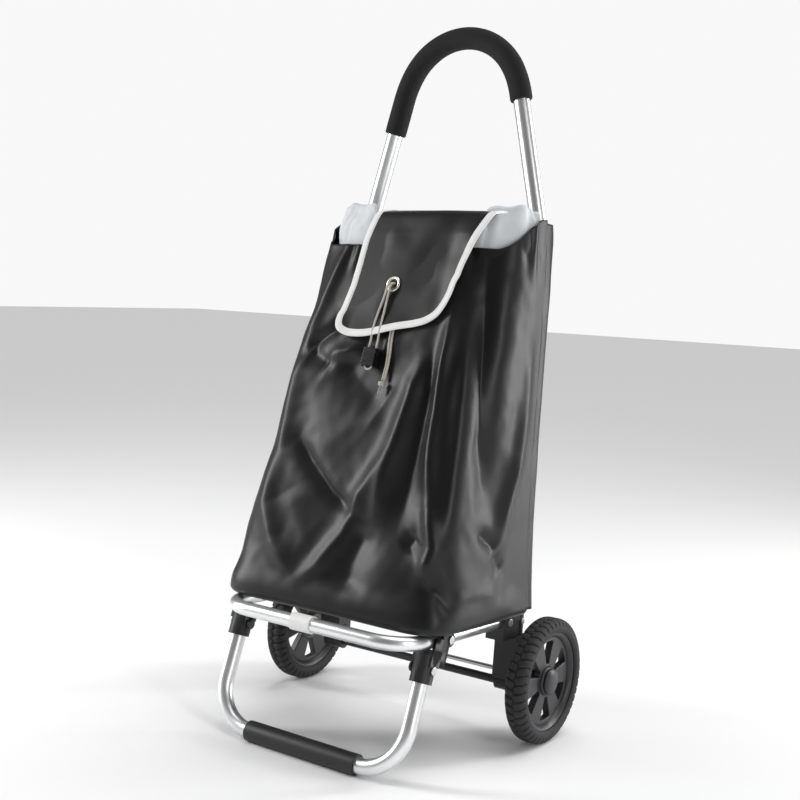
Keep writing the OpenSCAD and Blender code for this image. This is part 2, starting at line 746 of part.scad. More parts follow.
// Moves children from the lock's own frame, its length along Z, to its place on the bag's front.
module on_lock() {
    translate(lock_at) rotate([-lean - atan(front_slope), 0, 0]) children();
}

plunger_low = lock_h / 2 + plunger_show - plunger_h;
spring_low = spring_seat - lock_h / 2;

module lock_body() {
    room = soft_gap / 2;
    color(black) on_lock() difference() {
        cube([lock_w, lock_t, lock_h], center = true);
        for (side = [-1, 1]) translate([side * strand_gap / 2, 0, 0])
            cube([lock_channel, lock_channel, lock_h + 2], center = true);
        translate([-plunger_w / 2 - room, -plunger_t / 2 - room, spring_low])
            cube([plunger_w + 2 * room, plunger_t + 2 * room, lock_h]);
    }
}

module lock_plunger() {
    color(black) on_lock() translate([-plunger_w / 2, -plunger_t / 2, plunger_low])
        cube([plunger_w, plunger_t, plunger_h]);
}

module lock_spring() {
    rise = plunger_low - spring_low - 2 * spring_wire_r;
    steps = 12 * spring_turns;
    route = [for (i = [0 : steps])
        [spring_r * cos(i * 30), spring_r * sin(i * 30), spring_low + spring_wire_r + rise * i / steps]];
    color(steel) on_lock() cord_tube(route, spring_wire_r, 6);
}

standing() handle_tube();
standing() grip_sleeve();
standing() upright_plugs();
standing() wheel_bracket_left();
standing() wheel_bracket_right();
standing() bracket_screws();
standing() axle();
standing() cross_bar();
standing() cross_bar_screws();
standing() axle_spacers();
standing() axle_push_nuts();
standing() platform_rivets();
standing() platform_tube();
standing() platform_end_plugs();
standing() bar_collar();
standing() stand_rivets();
standing() stand_tube();
standing() stand_bracket_left();
standing() stand_bracket_right();
standing() foot_sleeve();
standing() socket_rivets();
standing() socket_caps();
standing() tyre_left();
standing() rim_left();
standing() hub_bush_left();
standing() hub_cap_left();
standing() tyre_right();
standing() rim_right();
standing() hub_bush_right();
standing() hub_cap_right();
standing() bag_shell();
standing() mouth_lining();
standing() upright_sleeve_left();
standing() upright_sleeve_right();
standing() flap_anchor();
standing() drawcord_tunnel();
drawcord_left();
drawcord_right();
drawcord_knot();
standing() flap_panel();
standing() flap_binding();
standing() eyelet();
toggle_cord();
lock_body();
lock_plunger();
lock_spring();
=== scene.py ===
import json
import math
import random

import bmesh
import bpy
import numpy as np
from mathutils import Matrix, Vector, noise


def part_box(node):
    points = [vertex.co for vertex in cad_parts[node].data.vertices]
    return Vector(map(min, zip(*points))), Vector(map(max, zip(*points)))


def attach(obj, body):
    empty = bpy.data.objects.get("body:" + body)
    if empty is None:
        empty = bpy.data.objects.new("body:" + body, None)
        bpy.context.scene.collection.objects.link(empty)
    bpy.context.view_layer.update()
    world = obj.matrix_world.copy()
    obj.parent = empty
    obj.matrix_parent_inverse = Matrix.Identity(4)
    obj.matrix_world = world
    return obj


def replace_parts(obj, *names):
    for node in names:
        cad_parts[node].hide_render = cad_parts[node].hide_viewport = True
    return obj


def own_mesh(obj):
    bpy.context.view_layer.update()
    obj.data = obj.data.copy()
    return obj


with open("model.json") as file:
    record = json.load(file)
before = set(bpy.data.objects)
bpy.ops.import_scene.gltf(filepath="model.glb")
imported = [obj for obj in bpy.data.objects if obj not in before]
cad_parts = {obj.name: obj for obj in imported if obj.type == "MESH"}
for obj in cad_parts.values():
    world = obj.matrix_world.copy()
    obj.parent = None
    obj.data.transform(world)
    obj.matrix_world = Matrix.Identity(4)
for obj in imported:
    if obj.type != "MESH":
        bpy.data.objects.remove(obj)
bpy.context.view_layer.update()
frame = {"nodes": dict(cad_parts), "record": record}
nodes = frame["nodes"]
mm = 0.001
random.seed(7)

# The trolley's own directions: across, forward from the uprights, and up along them, from the axle.
trolley = {"lean": math.radians(3.0), "uprightX": 146.0, "uprightR": 11.0}
axleLow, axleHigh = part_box("axle")
axle = np.array((axleLow + axleHigh) / 2)


def place(points):
    p = np.asarray(points, float)
    across, forward, up = p[..., 0] * mm, p[..., 1] * mm, p[..., 2] * mm
    c, s = math.cos(trolley["lean"]), math.sin(trolley["lean"])
    return np.stack([across + axle[0], axle[1] - forward * c + up * s, axle[2] + forward * s + up * c], -1)


def smooth(x, low=0.0, high=1.0):
    t = np.clip((np.asarray(x, float) - low) / (high - low), 0, 1)
    return t * t * (3 - 2 * t)


def wander(points, size, seed):  # smooth noise, one value for each point
    flat = np.asarray(points, float).reshape(-1, 3) / size + seed
    return np.array([noise.noise(Vector(p)) for p in flat]).reshape(np.shape(points)[:-1])


def piece(name, verts, faces, body, slot, uvs=None):
    mesh = bpy.data.meshes.new(name)
    points = np.asarray(verts, float).reshape(-1, 3)
    mesh.from_pydata([tuple(p) for p in points], [], [tuple(int(i) for i in face) for face in faces])
    mesh.validate()
    if uvs is not None:
        layer = mesh.uv_layers.new(name="grain")
        corner = np.zeros(len(mesh.loops), np.int32)
        mesh.loops.foreach_get("vertex_index", corner)
        layer.data.foreach_set("uv", np.asarray(uvs, np.float32)[corner].ravel())
    mesh.polygons.foreach_set("use_smooth", [True] * len(mesh.polygons))
    obj = bpy.data.objects.new(name, mesh)
    bpy.context.scene.collection.objects.link(obj)
    mesh.materials.append(paints[slot])
    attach(obj, body)
    return obj


def gridFaces(rows, cols, closed=False, first=0):
    faces = []
    for i in range(rows - 1):
        here, above = first + i * cols, first + (i + 1) * cols
        for j in range(cols if closed else cols - 1):
            k = (j + 1) % cols
            faces.append((here + j, here + k, above + k, above + j))
    return faces


def bake(obj, *modifiers):  # adds each modifier, then keeps only their result
    for kind, settings in modifiers:
        m = obj.modifiers.new(kind.title(), kind)
        for key, value in settings.items():
            setattr(m, key, value)
    bpy.context.view_layer.update()
    shape = bpy.data.meshes.new_from_object(obj.evaluated_get(bpy.context.evaluated_depsgraph_get()))
    obj.modifiers.clear()
    obj.data = shape
    return obj


def thicken(cloth, thickness, offset=0.0):
    return bake(cloth, ("SOLIDIFY", {"thickness": thickness * mm, "offset": offset}))


def runAlong(line):  # the distance from the line's start to each of its points
    return np.concatenate([[0], np.cumsum(np.linalg.norm(np.diff(line, axis=0), axis=1))])


def tube(points, radius, sides, closeEnds=True):
    p = np.asarray(points, float)
    along = np.gradient(p, axis=0)
    along /= np.linalg.norm(along, axis=1)[:, None]
    anyWay = [0.31, 0.87, 0.4]  # in line with none of the routes
    side = np.cross(along[0], anyWay)
    rows, lengths = [], runAlong(p)
    radii = np.broadcast_to(radius, len(p))
    a = np.arange(sides) * 2 * math.pi / sides
    for i in range(len(p)):
        side = side - along[i] * side.dot(along[i])
        side /= np.linalg.norm(side)
        up = np.cross(along[i], side)
        rows.append(p[i] + radii[i] * (np.cos(a)[:, None] * side + np.sin(a)[:, None] * up))
    verts = np.concatenate(rows)
    faces = gridFaces(len(p), sides, closed=True)
    uvs = np.array([[j / sides, lengths[i]] for i in range(len(p)) for j in range(sides)])
    if closeEnds:
        last = (len(p) - 1) * sides
        faces += [tuple(range(sides))[::-1], tuple(last + k for k in range(sides))]
    return verts, faces, uvs


def joined(tubes):  # several tubes as one mesh
    verts, faces, uvs, count = [], [], [], 0
    for v, f, u in tubes:
        verts.append(v)
        faces += [tuple(count + i for i in face) for face in f]
        uvs.append(u)
        count += len(v)
    return np.concatenate(verts), faces, np.concatenate(uvs)


def curvePoints(points, count):  # Catmull-Rom through the points, evenly spaced
    p = np.asarray(points, float)
    ends = np.concatenate([[2 * p[0] - p[1]], p, [2 * p[-1] - p[-2]]])
    fine = []
    for i in range(len(p) - 1):
        a, b, c, d = ends[i:i + 4]
        for t in np.linspace(0, 1, 24, endpoint=False):
            near = 2 * b + (c - a) * t + (2 * a - 5 * b + 4 * c - d) * t * t
            fine.append(0.5 * (near + (3 * b - a - 3 * c + d) * t ** 3))
    fine = np.array(fine + [p[-1]])
    run = runAlong(fine)
    want = np.linspace(0, run[-1], count)
    return np.stack([np.interp(want, run, fine[:, k]) for k in range(3)], 1)


class Wire:
    tree = None

    def __init__(self, socket):
        self.socket = socket

    @classmethod
    def feed(cls, socket, value):
        if isinstance(value, Wire):
            cls.tree.links.new(value.socket, socket)
        else:
            socket.default_value = value

    @classmethod
    def node(cls, kind, settings=None, inputs=None, output=0):
        made = cls.tree.nodes.new("ShaderNode" + kind)
        for key, value in (settings or {}).items():
            setattr(made, key, value)
        for key, value in (inputs or {}).items():
            cls.feed(made.inputs[key], value)
        return cls(made.outputs[output])

    def maths(self, operation, other, flip=False):
        first, second = (other, self) if flip else (self, other)
        return Wire.node("Math", {"operation": operation}, {0: first, 1: second})

    def __add__(self, other):
        return self.maths("ADD", other)

    def __sub__(self, other):
        return self.maths("SUBTRACT", other)

    def __rsub__(self, other):
        return self.maths("SUBTRACT", other, flip=True)

    def __mul__(self, other):
        return self.maths("MULTIPLY", other)

    __radd__ = __add__
    __rmul__ = __mul__


def rgb(red, green, blue):
    return (red, green, blue, 1.0)


def onObject():  # object coordinates, in metres
    return Wire.node("TexCoord", output=3)


def noiseAt(scale, detail):
    return Wire.node("TexNoise", None, {"Vector": onObject(), "Scale": scale, "Detail": detail})


def mixed(factor, a, b):
    return Wire.node("Mix", {"data_type": "RGBA"}, {0: factor, 6: a, 7: b}, output=2)


def grainUv(scaleU, scaleV):
    source = Wire.node("UVMap", {"uv_map": "grain"})
    return Wire.node("Mapping", None, {0: source, 3: (scaleU, scaleV, 1.0)})


def waves(way, vector, scale, distortion):
    return Wire.node("TexWave", {"bands_direction": way},
                     {"Vector": vector, "Scale": scale, "Distortion": distortion})


def weave(scale, distortion):
    threads = grainUv(1.0, 1.0)
    return waves("X", threads, scale, distortion) * waves("Y", threads, scale, distortion)


def material(name, look):
    made = bpy.data.materials.new(name)
    made.use_nodes = True
    Wire.tree = made.node_tree
    shader = made.node_tree.nodes["Principled BSDF"]
    for key, value in look().items():
        Wire.feed(shader.inputs[key], value)
    made.diffuse_color = (0.5, 0.5, 0.5, 1)
    return made


def bump(height, strength, distance, normal=None):
    inputs = {"Height": height, "Strength": strength, "Distance": distance}
    if normal:
        inputs["Normal"] = normal
    return Wire.node("Bump", None, inputs)


def satinAluminium():
    speck, cloud = noiseAt(900, 3), noiseAt(22, 3)
    return {"Base Color": mixed(cloud, rgb(0.80, 0.81, 0.82), rgb(0.90, 0.90, 0.905)), "Metallic": 1.0,
            "Roughness": 0.28 + 0.10 * cloud + 0.06 * speck, "Normal": bump(speck, 0.12, 0.0002)}


def handleFoam():
    pores, lumps = noiseAt(1500, 4), noiseAt(60, 3)
    cells = Wire.node("TexVoronoi", None, {"Vector": onObject(), "Scale": 900.0})
    return {"Base Color": mixed(pores, rgb(0.006, 0.006, 0.007), rgb(0.022, 0.022, 0.023)),
            "Roughness": 0.78 + 0.12 * lumps, "Specular IOR Level": 0.28,
            "Normal": bump(cells, 0.35, 0.0004, bump(pores, 0.3, 0.0004))}


def blackNylon():
    grain, cloud = noiseAt(1100, 3), noiseAt(30, 2)
    return {"Base Color": mixed(cloud, rgb(0.010, 0.010, 0.011), rgb(0.020, 0.020, 0.022)),
            "Roughness": 0.40 + 0.14 * grain, "Normal": bump(grain, 0.18, 0.0003)}


def zincSteel():
    grain, cloud = noiseAt(700, 2), noiseAt(50, 3)
    return {"Base Color": mixed(cloud, rgb(0.62, 0.63, 0.64), rgb(0.80, 0.80, 0.81)), "Metallic": 1.0,
            "Roughness": 0.22 + 0.14 * cloud, "Normal": bump(grain, 0.08, 0.0002)}


def whitePlastic():
    cloud = noiseAt(60, 3)
    return {"Base Color": mixed(cloud, rgb(0.78, 0.78, 0.77), rgb(0.86, 0.86, 0.855)),
            "Roughness": 0.38 + 0.1 * cloud, "Normal": bump(noiseAt(800, 2), 0.08, 0.0002)}


def footRubber():
    grain, cloud = noiseAt(900, 3), noiseAt(24, 3)
    return {"Base Color": mixed(cloud, rgb(0.010, 0.010, 0.011), rgb(0.024, 0.024, 0.025)),
            "Roughness": 0.36 + 0.2 * cloud, "Normal": bump(grain, 0.15, 0.0003)}


def tyreRubber():
    grain, dust = noiseAt(1200, 4), noiseAt(45, 4)
    return {"Base Color": mixed(dust, rgb(0.008, 0.008, 0.009), rgb(0.030, 0.029, 0.028)),
            "Roughness": 0.62 + 0.25 * dust, "Normal": bump(grain, 0.4, 0.0004)}


def wheelPlastic():
    grain, cloud = noiseAt(1000, 3), noiseAt(28, 2)
    return {"Base Color": mixed(cloud, rgb(0.014, 0.014, 0.016), rgb(0.026, 0.026, 0.029)),
            "Roughness": 0.34 + 0.12 * grain, "Normal": bump(grain, 0.12, 0.0003)}


def paleBush():
    return {"Base Color": mixed(noiseAt(200, 2), rgb(0.66, 0.64, 0.58), rgb(0.75, 0.74, 0.70)),
            "Roughness": 0.5}


def bagFabric():
    cloud, wear = noiseAt(9, 4), noiseAt(300, 3)
    return {"Base Color": mixed(cloud, rgb(0.0035, 0.0035, 0.0038), rgb(0.0070, 0.0066, 0.0063)),
            "Roughness": 0.33 + 0.10 * cloud + 0.05 * wear, "Specular IOR Level": 0.34,
            "Sheen Weight": 0.05, "Normal": bump(weave(170.0, 0.4), 0.10, 0.0002, bump(wear, 0.10, 0.0004))}


def greyLining():
    cloud = noiseAt(35, 3)
    return {"Base Color": mixed(cloud, rgb(0.60, 0.63, 0.66), rgb(0.74, 0.77, 0.79)),
            "Roughness": 0.72, "Sheen Weight": 0.2, "Normal": bump(weave(260.0, 0.5), 0.22, 0.0003)}


def whiteTape():
    ribs = waves("Y", grainUv(1.0, 1.0), 330.0, 0.6)
    cloud = noiseAt(70, 3)
    return {"Base Color": mixed(cloud, rgb(0.80, 0.80, 0.79), rgb(0.90, 0.90, 0.895)),
            "Roughness": 0.62, "Sheen Weight": 0.25, "Normal": bump(ribs, 0.3, 0.0003)}


def paleNickel():
    cloud = noiseAt(90, 3)
    return {"Base Color": mixed(cloud, rgb(0.80, 0.76, 0.64), rgb(0.90, 0.87, 0.78)), "Metallic": 1.0,
            "Roughness": 0.30 + 0.10 * cloud, "Normal": bump(noiseAt(300, 2), 0.03, 0.0001)}


def braidedCord():
    strands = grainUv(6.0, 620.0)
    left = waves("DIAGONAL", strands, 0.5, 0.5)
    mirrored = Wire.node("Mapping", None, {0: strands, 3: (-1.0, 1.0, 1.0)})
    right = waves("DIAGONAL", mirrored, 0.5, 0.5)
    # the braid height drives both the bump and the colour: the cord is painted darker in the grooves between
    # strands, which is painted shade
    braid = left.maths("MAXIMUM", right)
    return {"Base Color": mixed(braid, rgb(0.30, 0.28, 0.24), rgb(0.62, 0.59, 0.52)),
            "Roughness": 0.75, "Sheen Weight": 0.3, "Normal": bump(braid, 0.6, 0.0004)}


def lockPlastic():
    grain = noiseAt(700, 2)
    return {"Base Color": mixed(noiseAt(60, 2), rgb(0.006, 0.006, 0.006), rgb(0.014, 0.014, 0.015)),
            "Roughness": 0.20 + 0.1 * grain, "Normal": bump(grain, 0.06, 0.0002)}


looks = {"aluminium_tube": satinAluminium, "foam_grip": handleFoam, "black_nylon": blackNylon,
         "zinc_steel": zincSteel, "white_plastic": whitePlastic, "foot_rubber": footRubber,
         "tyre_rubber": tyreRubber, "wheel_plastic": wheelPlastic, "pale_bush": paleBush,
         "coated_fabric": bagFabric, "grey_lining": greyLining, "white_binding": whiteTape,
         "nickel": paleNickel, "braided_cord": braidedCord, "lock_plastic": lockPlastic}
paints = {slot: material(slot, look) for slot, look in looks.items()}
for part in frame["record"]["subparts"]:
    shown = nodes[part["node"]]
    shown.data.materials.clear()
    shown.data.materials.append(paints[part["material_slot"]])
print("materials ready")

camera = {"across": 937.8, "back": -1330.8, "height": 593.4, "azimuth": 34.8, "pitch": 5.4, "roll": 2.6,
          "lens": 55.8, "sensor": 36.0, "clip": (0.05, 30.0)}


def makeCamera():
    data = bpy.data.cameras.new("camera")
    data.lens, data.sensor_width = camera["lens"], camera["sensor"]
    data.clip_start, data.clip_end = camera["clip"]
    made = bpy.data.objects.new("camera", data)
    bpy.context.scene.collection.objects.link(made)
    turn, pitch, roll = (math.radians(camera[k]) for k in ("azimuth", "pitch", "roll"))
    ahead = Vector((-math.sin(turn) * math.cos(pitch), math.cos(turn) * math.cos(pitch), -math.sin(pitch)))
    flat = Vector((math.cos(turn), math.sin(turn), 0))
    over = flat.cross(ahead)
    right = flat * math.cos(roll) + over * math.sin(roll)
    up = over * math.cos(roll) - flat * math.sin(roll)
    made.matrix_world = Matrix((
        (right.x, up.x, -ahead.x, camera["across"] * mm), (right.y, up.y, -ahead.y, camera["back"] * mm),
        (right.z, up.z, -ahead.z, camera["height"] * mm), (0, 0, 0, 1)))
    bpy.context.scene.camera = made


studio = {"worldLight": 0.15, "worldSeen": 0.94, "floor": 0.88, "floorHalf": 14.0, "aim": 0.4,
          "sun": 1.75, "sunWidth": 50, "sunTilt": (-14, 6),
          "lights": [  # name, azimuth, distance, height, width, tall, power
              ("left softbox", -62, 2.2, 1.15, 0.5, 1.5, 38), ("right strip", 140, 2.0, 0.9, 0.35, 1.7, 26),
              ("front strip", 70, 2.6, 1.1, 0.35, 1.6, 18)]}


def makeStudio():
    world = bpy.data.worlds.new("world")
    world.use_nodes = True
    bpy.context.scene.world = world
    Wire.tree = world.node_tree
    shown = world.node_tree.nodes["Background"]
    shown.inputs[0].default_value = (1, 1, 1, 1)
    seen = Wire.node("LightPath")
    Wire.feed(shown.inputs[1], studio["worldSeen"] * seen + studio["worldLight"] * (1 - seen))
    bpy.context.scene.view_settings.view_transform = "Standard"
    for name, azimuth, distance, height, width, tall, power in studio["lights"]:
        data = bpy.data.lights.new(name, "AREA")
        data.shape, data.size, data.size_y, data.energy = "RECTANGLE", width, tall, power
        light = bpy.data.objects.new(name, data)
        a = math.radians(azimuth)
        light.location = (math.sin(a) * distance, -math.cos(a) * distance, height)
        aim = Vector((0, 0, studio["aim"])) - light.location
        light.rotation_euler = aim.to_track_quat("-Z", "Y").to_euler()
        bpy.context.scene.collection.objects.link(light)
    over = bpy.data.lights.new("overhead", "SUN")
    over.energy, over.angle = studio["sun"], math.radians(studio["sunWidth"])
    sun = bpy.data.objects.new("overhead", over)
    sun.rotation_euler = [math.radians(turn) for turn in studio["sunTilt"]] + [0]
    bpy.context.scene.collection.objects.link(sun)
    edge = studio["floorHalf"]
    mesh = bpy.data.meshes.new("floor")
    mesh.from_pydata([(-edge, -edge, 0), (edge, -edge, 0), (edge, edge, 0), (-edge, edge, 0)], [],
                     [(0, 1, 2, 3)])
    floor = bpy.data.objects.new("floor", mesh)
    bpy.context.scene.collection.objects.link(floor)
    mesh.materials.append(material("floor", lambda: {"Base Color": rgb(*[studio["floor"]] * 3),
                                                     "Roughness": 0.9}))


makeCamera()
makeStudio()
print("camera and studio ready")

cords = {"diameter": 2.8, "sides": 14, "detail": 5,
         "toggle": [
             (-2.2, -2.6, 590.2), (-2.4, -6.9, 591.7), (-2.8, -10.9, 592.4), (-3.4, -14.5, 591),
             (-4.2, -16.2, 587.4), (-5.4, -16.8, 582.2), (-7.2, -18, 574), (-9.4, -20.4, 564.3),
             (-11.6, -23.8, 552.8), (-13.2, -27.4, 541.5), (-14, -31.1, 530.2), (-14, -33.6, 518.4),
             (-14, -37.5, 506.9), (-14, -41, 495.4), (-14, -44.1, 486.4), (-13, -45.1, 483.4),
             (-10.9, -45.8, 481.4), (-8.4, -46, 480.8), (-5.9, -45.8, 481.4), (-3.8, -45.1, 483.4),
             (-2.8, -44.1, 486.4), (-2.8, -41, 495.4), (-2.8, -37.5, 506.9), (-2.8, -33.6, 518.4),
             (-2.8, -31.1, 530.2), (-2.8, -27.4, 541.5), (-2.6, -23.8, 552.8), (-2.2, -20.4, 564.3),
             (-1.5, -18, 574), (-0.7, -16.8, 582.2), (0.2, -16.2, 587.4), (1, -14.5, 591),
             (1.4, -10.9, 592.4), (1.6, -6.9, 591.7), (1.8, -2.6, 590.2)],
         "left": [
             (8.2, 24.2, 676.1), (8.4, 20.4, 664.7), (9, 14.7, 647.6), (10, 9.1, 630.6),
             (11.2, 3.4, 613.5), (12, -2.2, 596.4), (11.6, -7.9, 579.3), (10.6, -13.5, 562.2),
             (10, -19.2, 545.2), (10.2, -24.2, 530), (11.8, -29.2, 514.8), (13.8, -33.6, 501.5),
             (15, -38, 488.2), (15.2, -42, 476.9), (15.2, -45.4, 467.8)],
         "right": [
             (12.2, 24.2, 676.1), (12.4, 20.4, 664.7), (13, 14.7, 647.6), (14, 9.1, 630.6),
             (15.2, 3.4, 613.5), (16, -2.2, 596.4), (15.6, -7.9, 579.3), (14.6, -13.5, 562.2),
             (14, -19.2, 545.2), (14.2, -24.2, 530), (15.6, -29.2, 514.8), (17.4, -33.6, 501.5),
             (18.4, -38, 488.2), (18.4, -42, 476.9), (18.2, -45.4, 467.8)],
         "knot": (16.8, -49.4, 464.0)}


def cordPiece(name, route, body):
    path = curvePoints(np.array(route) * mm, len(route) * cords["detail"])
    verts, faces, uvs = tube(path, cords["diameter"] / 2 * mm, cords["sides"])
    made = piece(name, verts, faces, body, "braided_cord", uvs)
    return made


knotting = {"down": (0.06, -0.25, -0.966), "side": (1.0, 0.0, 0.06), "turns": 2.4, "turnR": 3.0,
            "squeeze": 0.85, "levels": (-2.6, 2.8), "cordR": 1.35, "core": (-3.2, 0, 2.6), "coreR": 2.2,
            "threads": 14, "threadR": 0.42, "reach": (7.0, 11.0), "apart": 0.9}


def knotPiece():  # two turns of cord about the strands, and frayed tails
    centre = np.array(cords["knot"]) * mm
    down = np.array(knotting["down"])
    side = np.array(knotting["side"])
    front = np.cross(side, down)
    t = np.linspace(0, 1, 90)
    turn = 2 * math.pi * knotting["turns"] * t
    circle = np.cos(turn)[:, None] * side + knotting["squeeze"] * np.sin(turn)[:, None] * front
    level = np.interp(t, [0, 1], knotting["levels"]) * mm
    loop = centre + (knotting["turnR"] * mm) * circle + level[:, None] * down
    core = [centre + down * s * mm for s in knotting["core"]]
    tubes = [tube(loop, knotting["cordR"] * mm, 12), tube(curvePoints(core, 12), knotting["coreR"] * mm, 12)]
    for k in range(knotting["threads"]):
        a = random.uniform(0, 2 * math.pi)
        out = math.cos(a) * side + math.sin(a) * front
        apart = knotting["apart"] if k % 2 else -knotting["apart"]
        start = centre + down * 2.4 * mm + out * 0.9 * mm + side * apart * mm
        reach = random.uniform(*knotting["reach"]) * mm
        bend = start + down * reach * 0.5 + out * random.uniform(0.2, 0.9) * mm
        aside = side * (0.8 if k % 2 else -0.6) * mm
        end = start + down * reach + out * random.uniform(0.2, 1.2) * mm + aside
        tubes.append(tube(curvePoints([start, bend, end], 10), knotting["threadR"] * mm, 6))
    verts, faces, uvs = joined(tubes)
    return piece("knot", verts, faces, "frame", "braided_cord", uvs)


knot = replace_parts(knotPiece(), "drawcord_knot")
drawcords = [knot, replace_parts(cordPiece("draw_cord_left", cords["left"], "frame"),
                               "drawcord_left"),
             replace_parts(cordPiece("draw_cord_right", cords["right"], "frame"), "drawcord_right")]
print("cords ready")

bag = {"floor": 83.5, "mouth": 600.0, "back": 14.5, "frontSlope": 0.274, "rows": 170, "cols": 250, "sheet": 1.6,
       "hemDip": 45.0, "girth": 650.0, "gathers": 15, "gatherDepth": 1.6, "inward": -2.0,
       "baseMiddle": (0.0, 125.0),
       "wander": [(5.0, 130.0, 3.1), (2.0, 52.0, 9.7), (0.5, 18.0, 5.3)],  # height, size, seed
       "baseEdge": [(0.0, 6.0), (1.5, 3.4), (4.0, 1.6), (8.0, 0.6), (14.0, 0.2)],  # inset, height
       "halfWidth": [(82, 173.0), (120, 169.0), (200, 165.0), (300, 162.5), (433, 161.5), (512, 161.0),
                     (600, 156.5)],
       "squareness": [(82, 10.0), (176, 10.0), (336, 7.2), (460, 4.6), (600, 3.0)],
       "folds": [  # path of (share round the bag from the right, height), height out, width, ends that fade
           ([(0.72, 545), (0.74, 480), (0.745, 425)], 6.0, 15),
           ([(0.63, 450), (0.685, 430), (0.735, 410)], -9.0, 11),
           ([(0.66, 404), (0.57, 414), (0.47, 424)], 7.0, 11),
           ([(0.72, 405), (0.67, 398), (0.64, 392)], -9.0, 13),
           ([(0.74, 400), (0.725, 345), (0.70, 275)], 7.0, 17),
           ([(0.60, 405), (0.55, 376), (0.46, 345)], -10.0, 32),
           ([(0.71, 270), (0.69, 206), (0.64, 160), (0.575, 122)], 8.0, 17),
           ([(0.56, 118), (0.525, 142), (0.485, 185), (0.465, 234), (0.42, 285)], 7.5, 14),
           ([(0.66, 290), (0.62, 268), (0.54, 230), (0.475, 207)], -9.0, 11),
           ([(0.64, 225), (0.58, 175), (0.54, 160)], 4.0, 26),
           ([(0.36, 410), (0.385, 376), (0.40, 316), (0.415, 260), (0.425, 215)], 10.0, 16),
           ([(0.35, 420), (0.345, 350), (0.36, 270), (0.37, 200)], -9.0, 20),
           ([(0.302, 470), (0.305, 436), (0.317, 378), (0.317, 304), (0.303, 230)], 13.0, 13),
           ([(0.303, 232), (0.290, 186), (0.305, 150)], 11.0, 10),
           ([(0.325, 196), (0.345, 176)], -6.0, 12),
           ([(0.262, 450), (0.262, 390), (0.265, 320), (0.27, 244), (0.275, 180)], 6.0, 14),
           ([(0.225, 540), (0.217, 406), (0.20, 320), (0.175, 242)], -13.0, 26),
           ([(0.04, 420), (0.045, 366), (0.06, 296), (0.10, 230), (0.121, 182)], 11.0, 16),
           ([(0.121, 180), (0.155, 190), (0.185, 202)], -7.0, 9), ([(0.13, 172), (0.10, 150)], -5.0, 14),
           ([(0.30, 146), (0.272, 130), (0.254, 104)], -6.0, 12),
           ([(0.44, 195), (0.46, 150), (0.465, 110)], -8.0, 24),
           ([(0.26, 122), (0.19, 126), (0.11, 118)], 4.0, 16),
           ([(0.93, 420), (0.92, 300), (0.90, 190)], 7.0, 20),
           ([(0.83, 500), (0.84, 380), (0.86, 250)], -8.0, 24)]}


def bagWidth(height):
    return np.interp(height, *zip(*bag["halfWidth"]))


def bagFront(height):
    return 235.0 - bag["frontSlope"] * (np.asarray(height, float) - 82.5)


def bagSection(height, shares):
    power = 2 / np.interp(height, *zip(*bag["squareness"]))
    angle = np.linspace(0, math.pi, 1601)
    c, s = np.cos(angle), np.sin(angle)
    x = bagWidth(height) * np.sign(c) * np.abs(c) ** power
    v = bag["back"] + (bagFront(height) - bag["back"]) * np.abs(s) ** power
    run = runAlong(np.stack([x, v], 1))
    want = np.asarray(shares) * run[-1]
    return np.stack([np.interp(want, run, x), np.interp(want, run, v)], 1)


def foldHeights(shares, heights):
    px, py = shares * bag["girth"], heights
    total = np.zeros_like(px)
    for path, out, width in bag["folds"]:
        p = np.array([(q * bag["girth"], h) for q, h in path])
        best = np.full(px.shape, np.inf)
        alongAt = np.zeros_like(px)
        runs = runAlong(p)
        for i in range(len(p) - 1):
            d = p[i + 1] - p[i]
            t = np.clip(((px - p[i, 0]) * d[0] + (py - p[i, 1]) * d[1]) / d.dot(d), 0, 1)
            dist = np.hypot(px - p[i, 0] - t * d[0], py - p[i, 1] - t * d[1])
            closer = dist < best
            alongAt = np.where(closer, (runs[i] + t * math.sqrt(d.dot(d))) / runs[-1], alongAt)
            best = np.minimum(best, dist)
        fade = smooth(alongAt, -0.15, 0.25) * smooth(1 - alongAt, -0.15, 0.25)
        total += out * fade * np.exp(-(best / width) ** 1.6)
    return total


def mouthHeight(share):  # the hem dips towards the front
    return bag["mouth"] - bag["hemDip"] * smooth(np.sin(np.pi * np.asarray(share)), 0.05, 0.6)


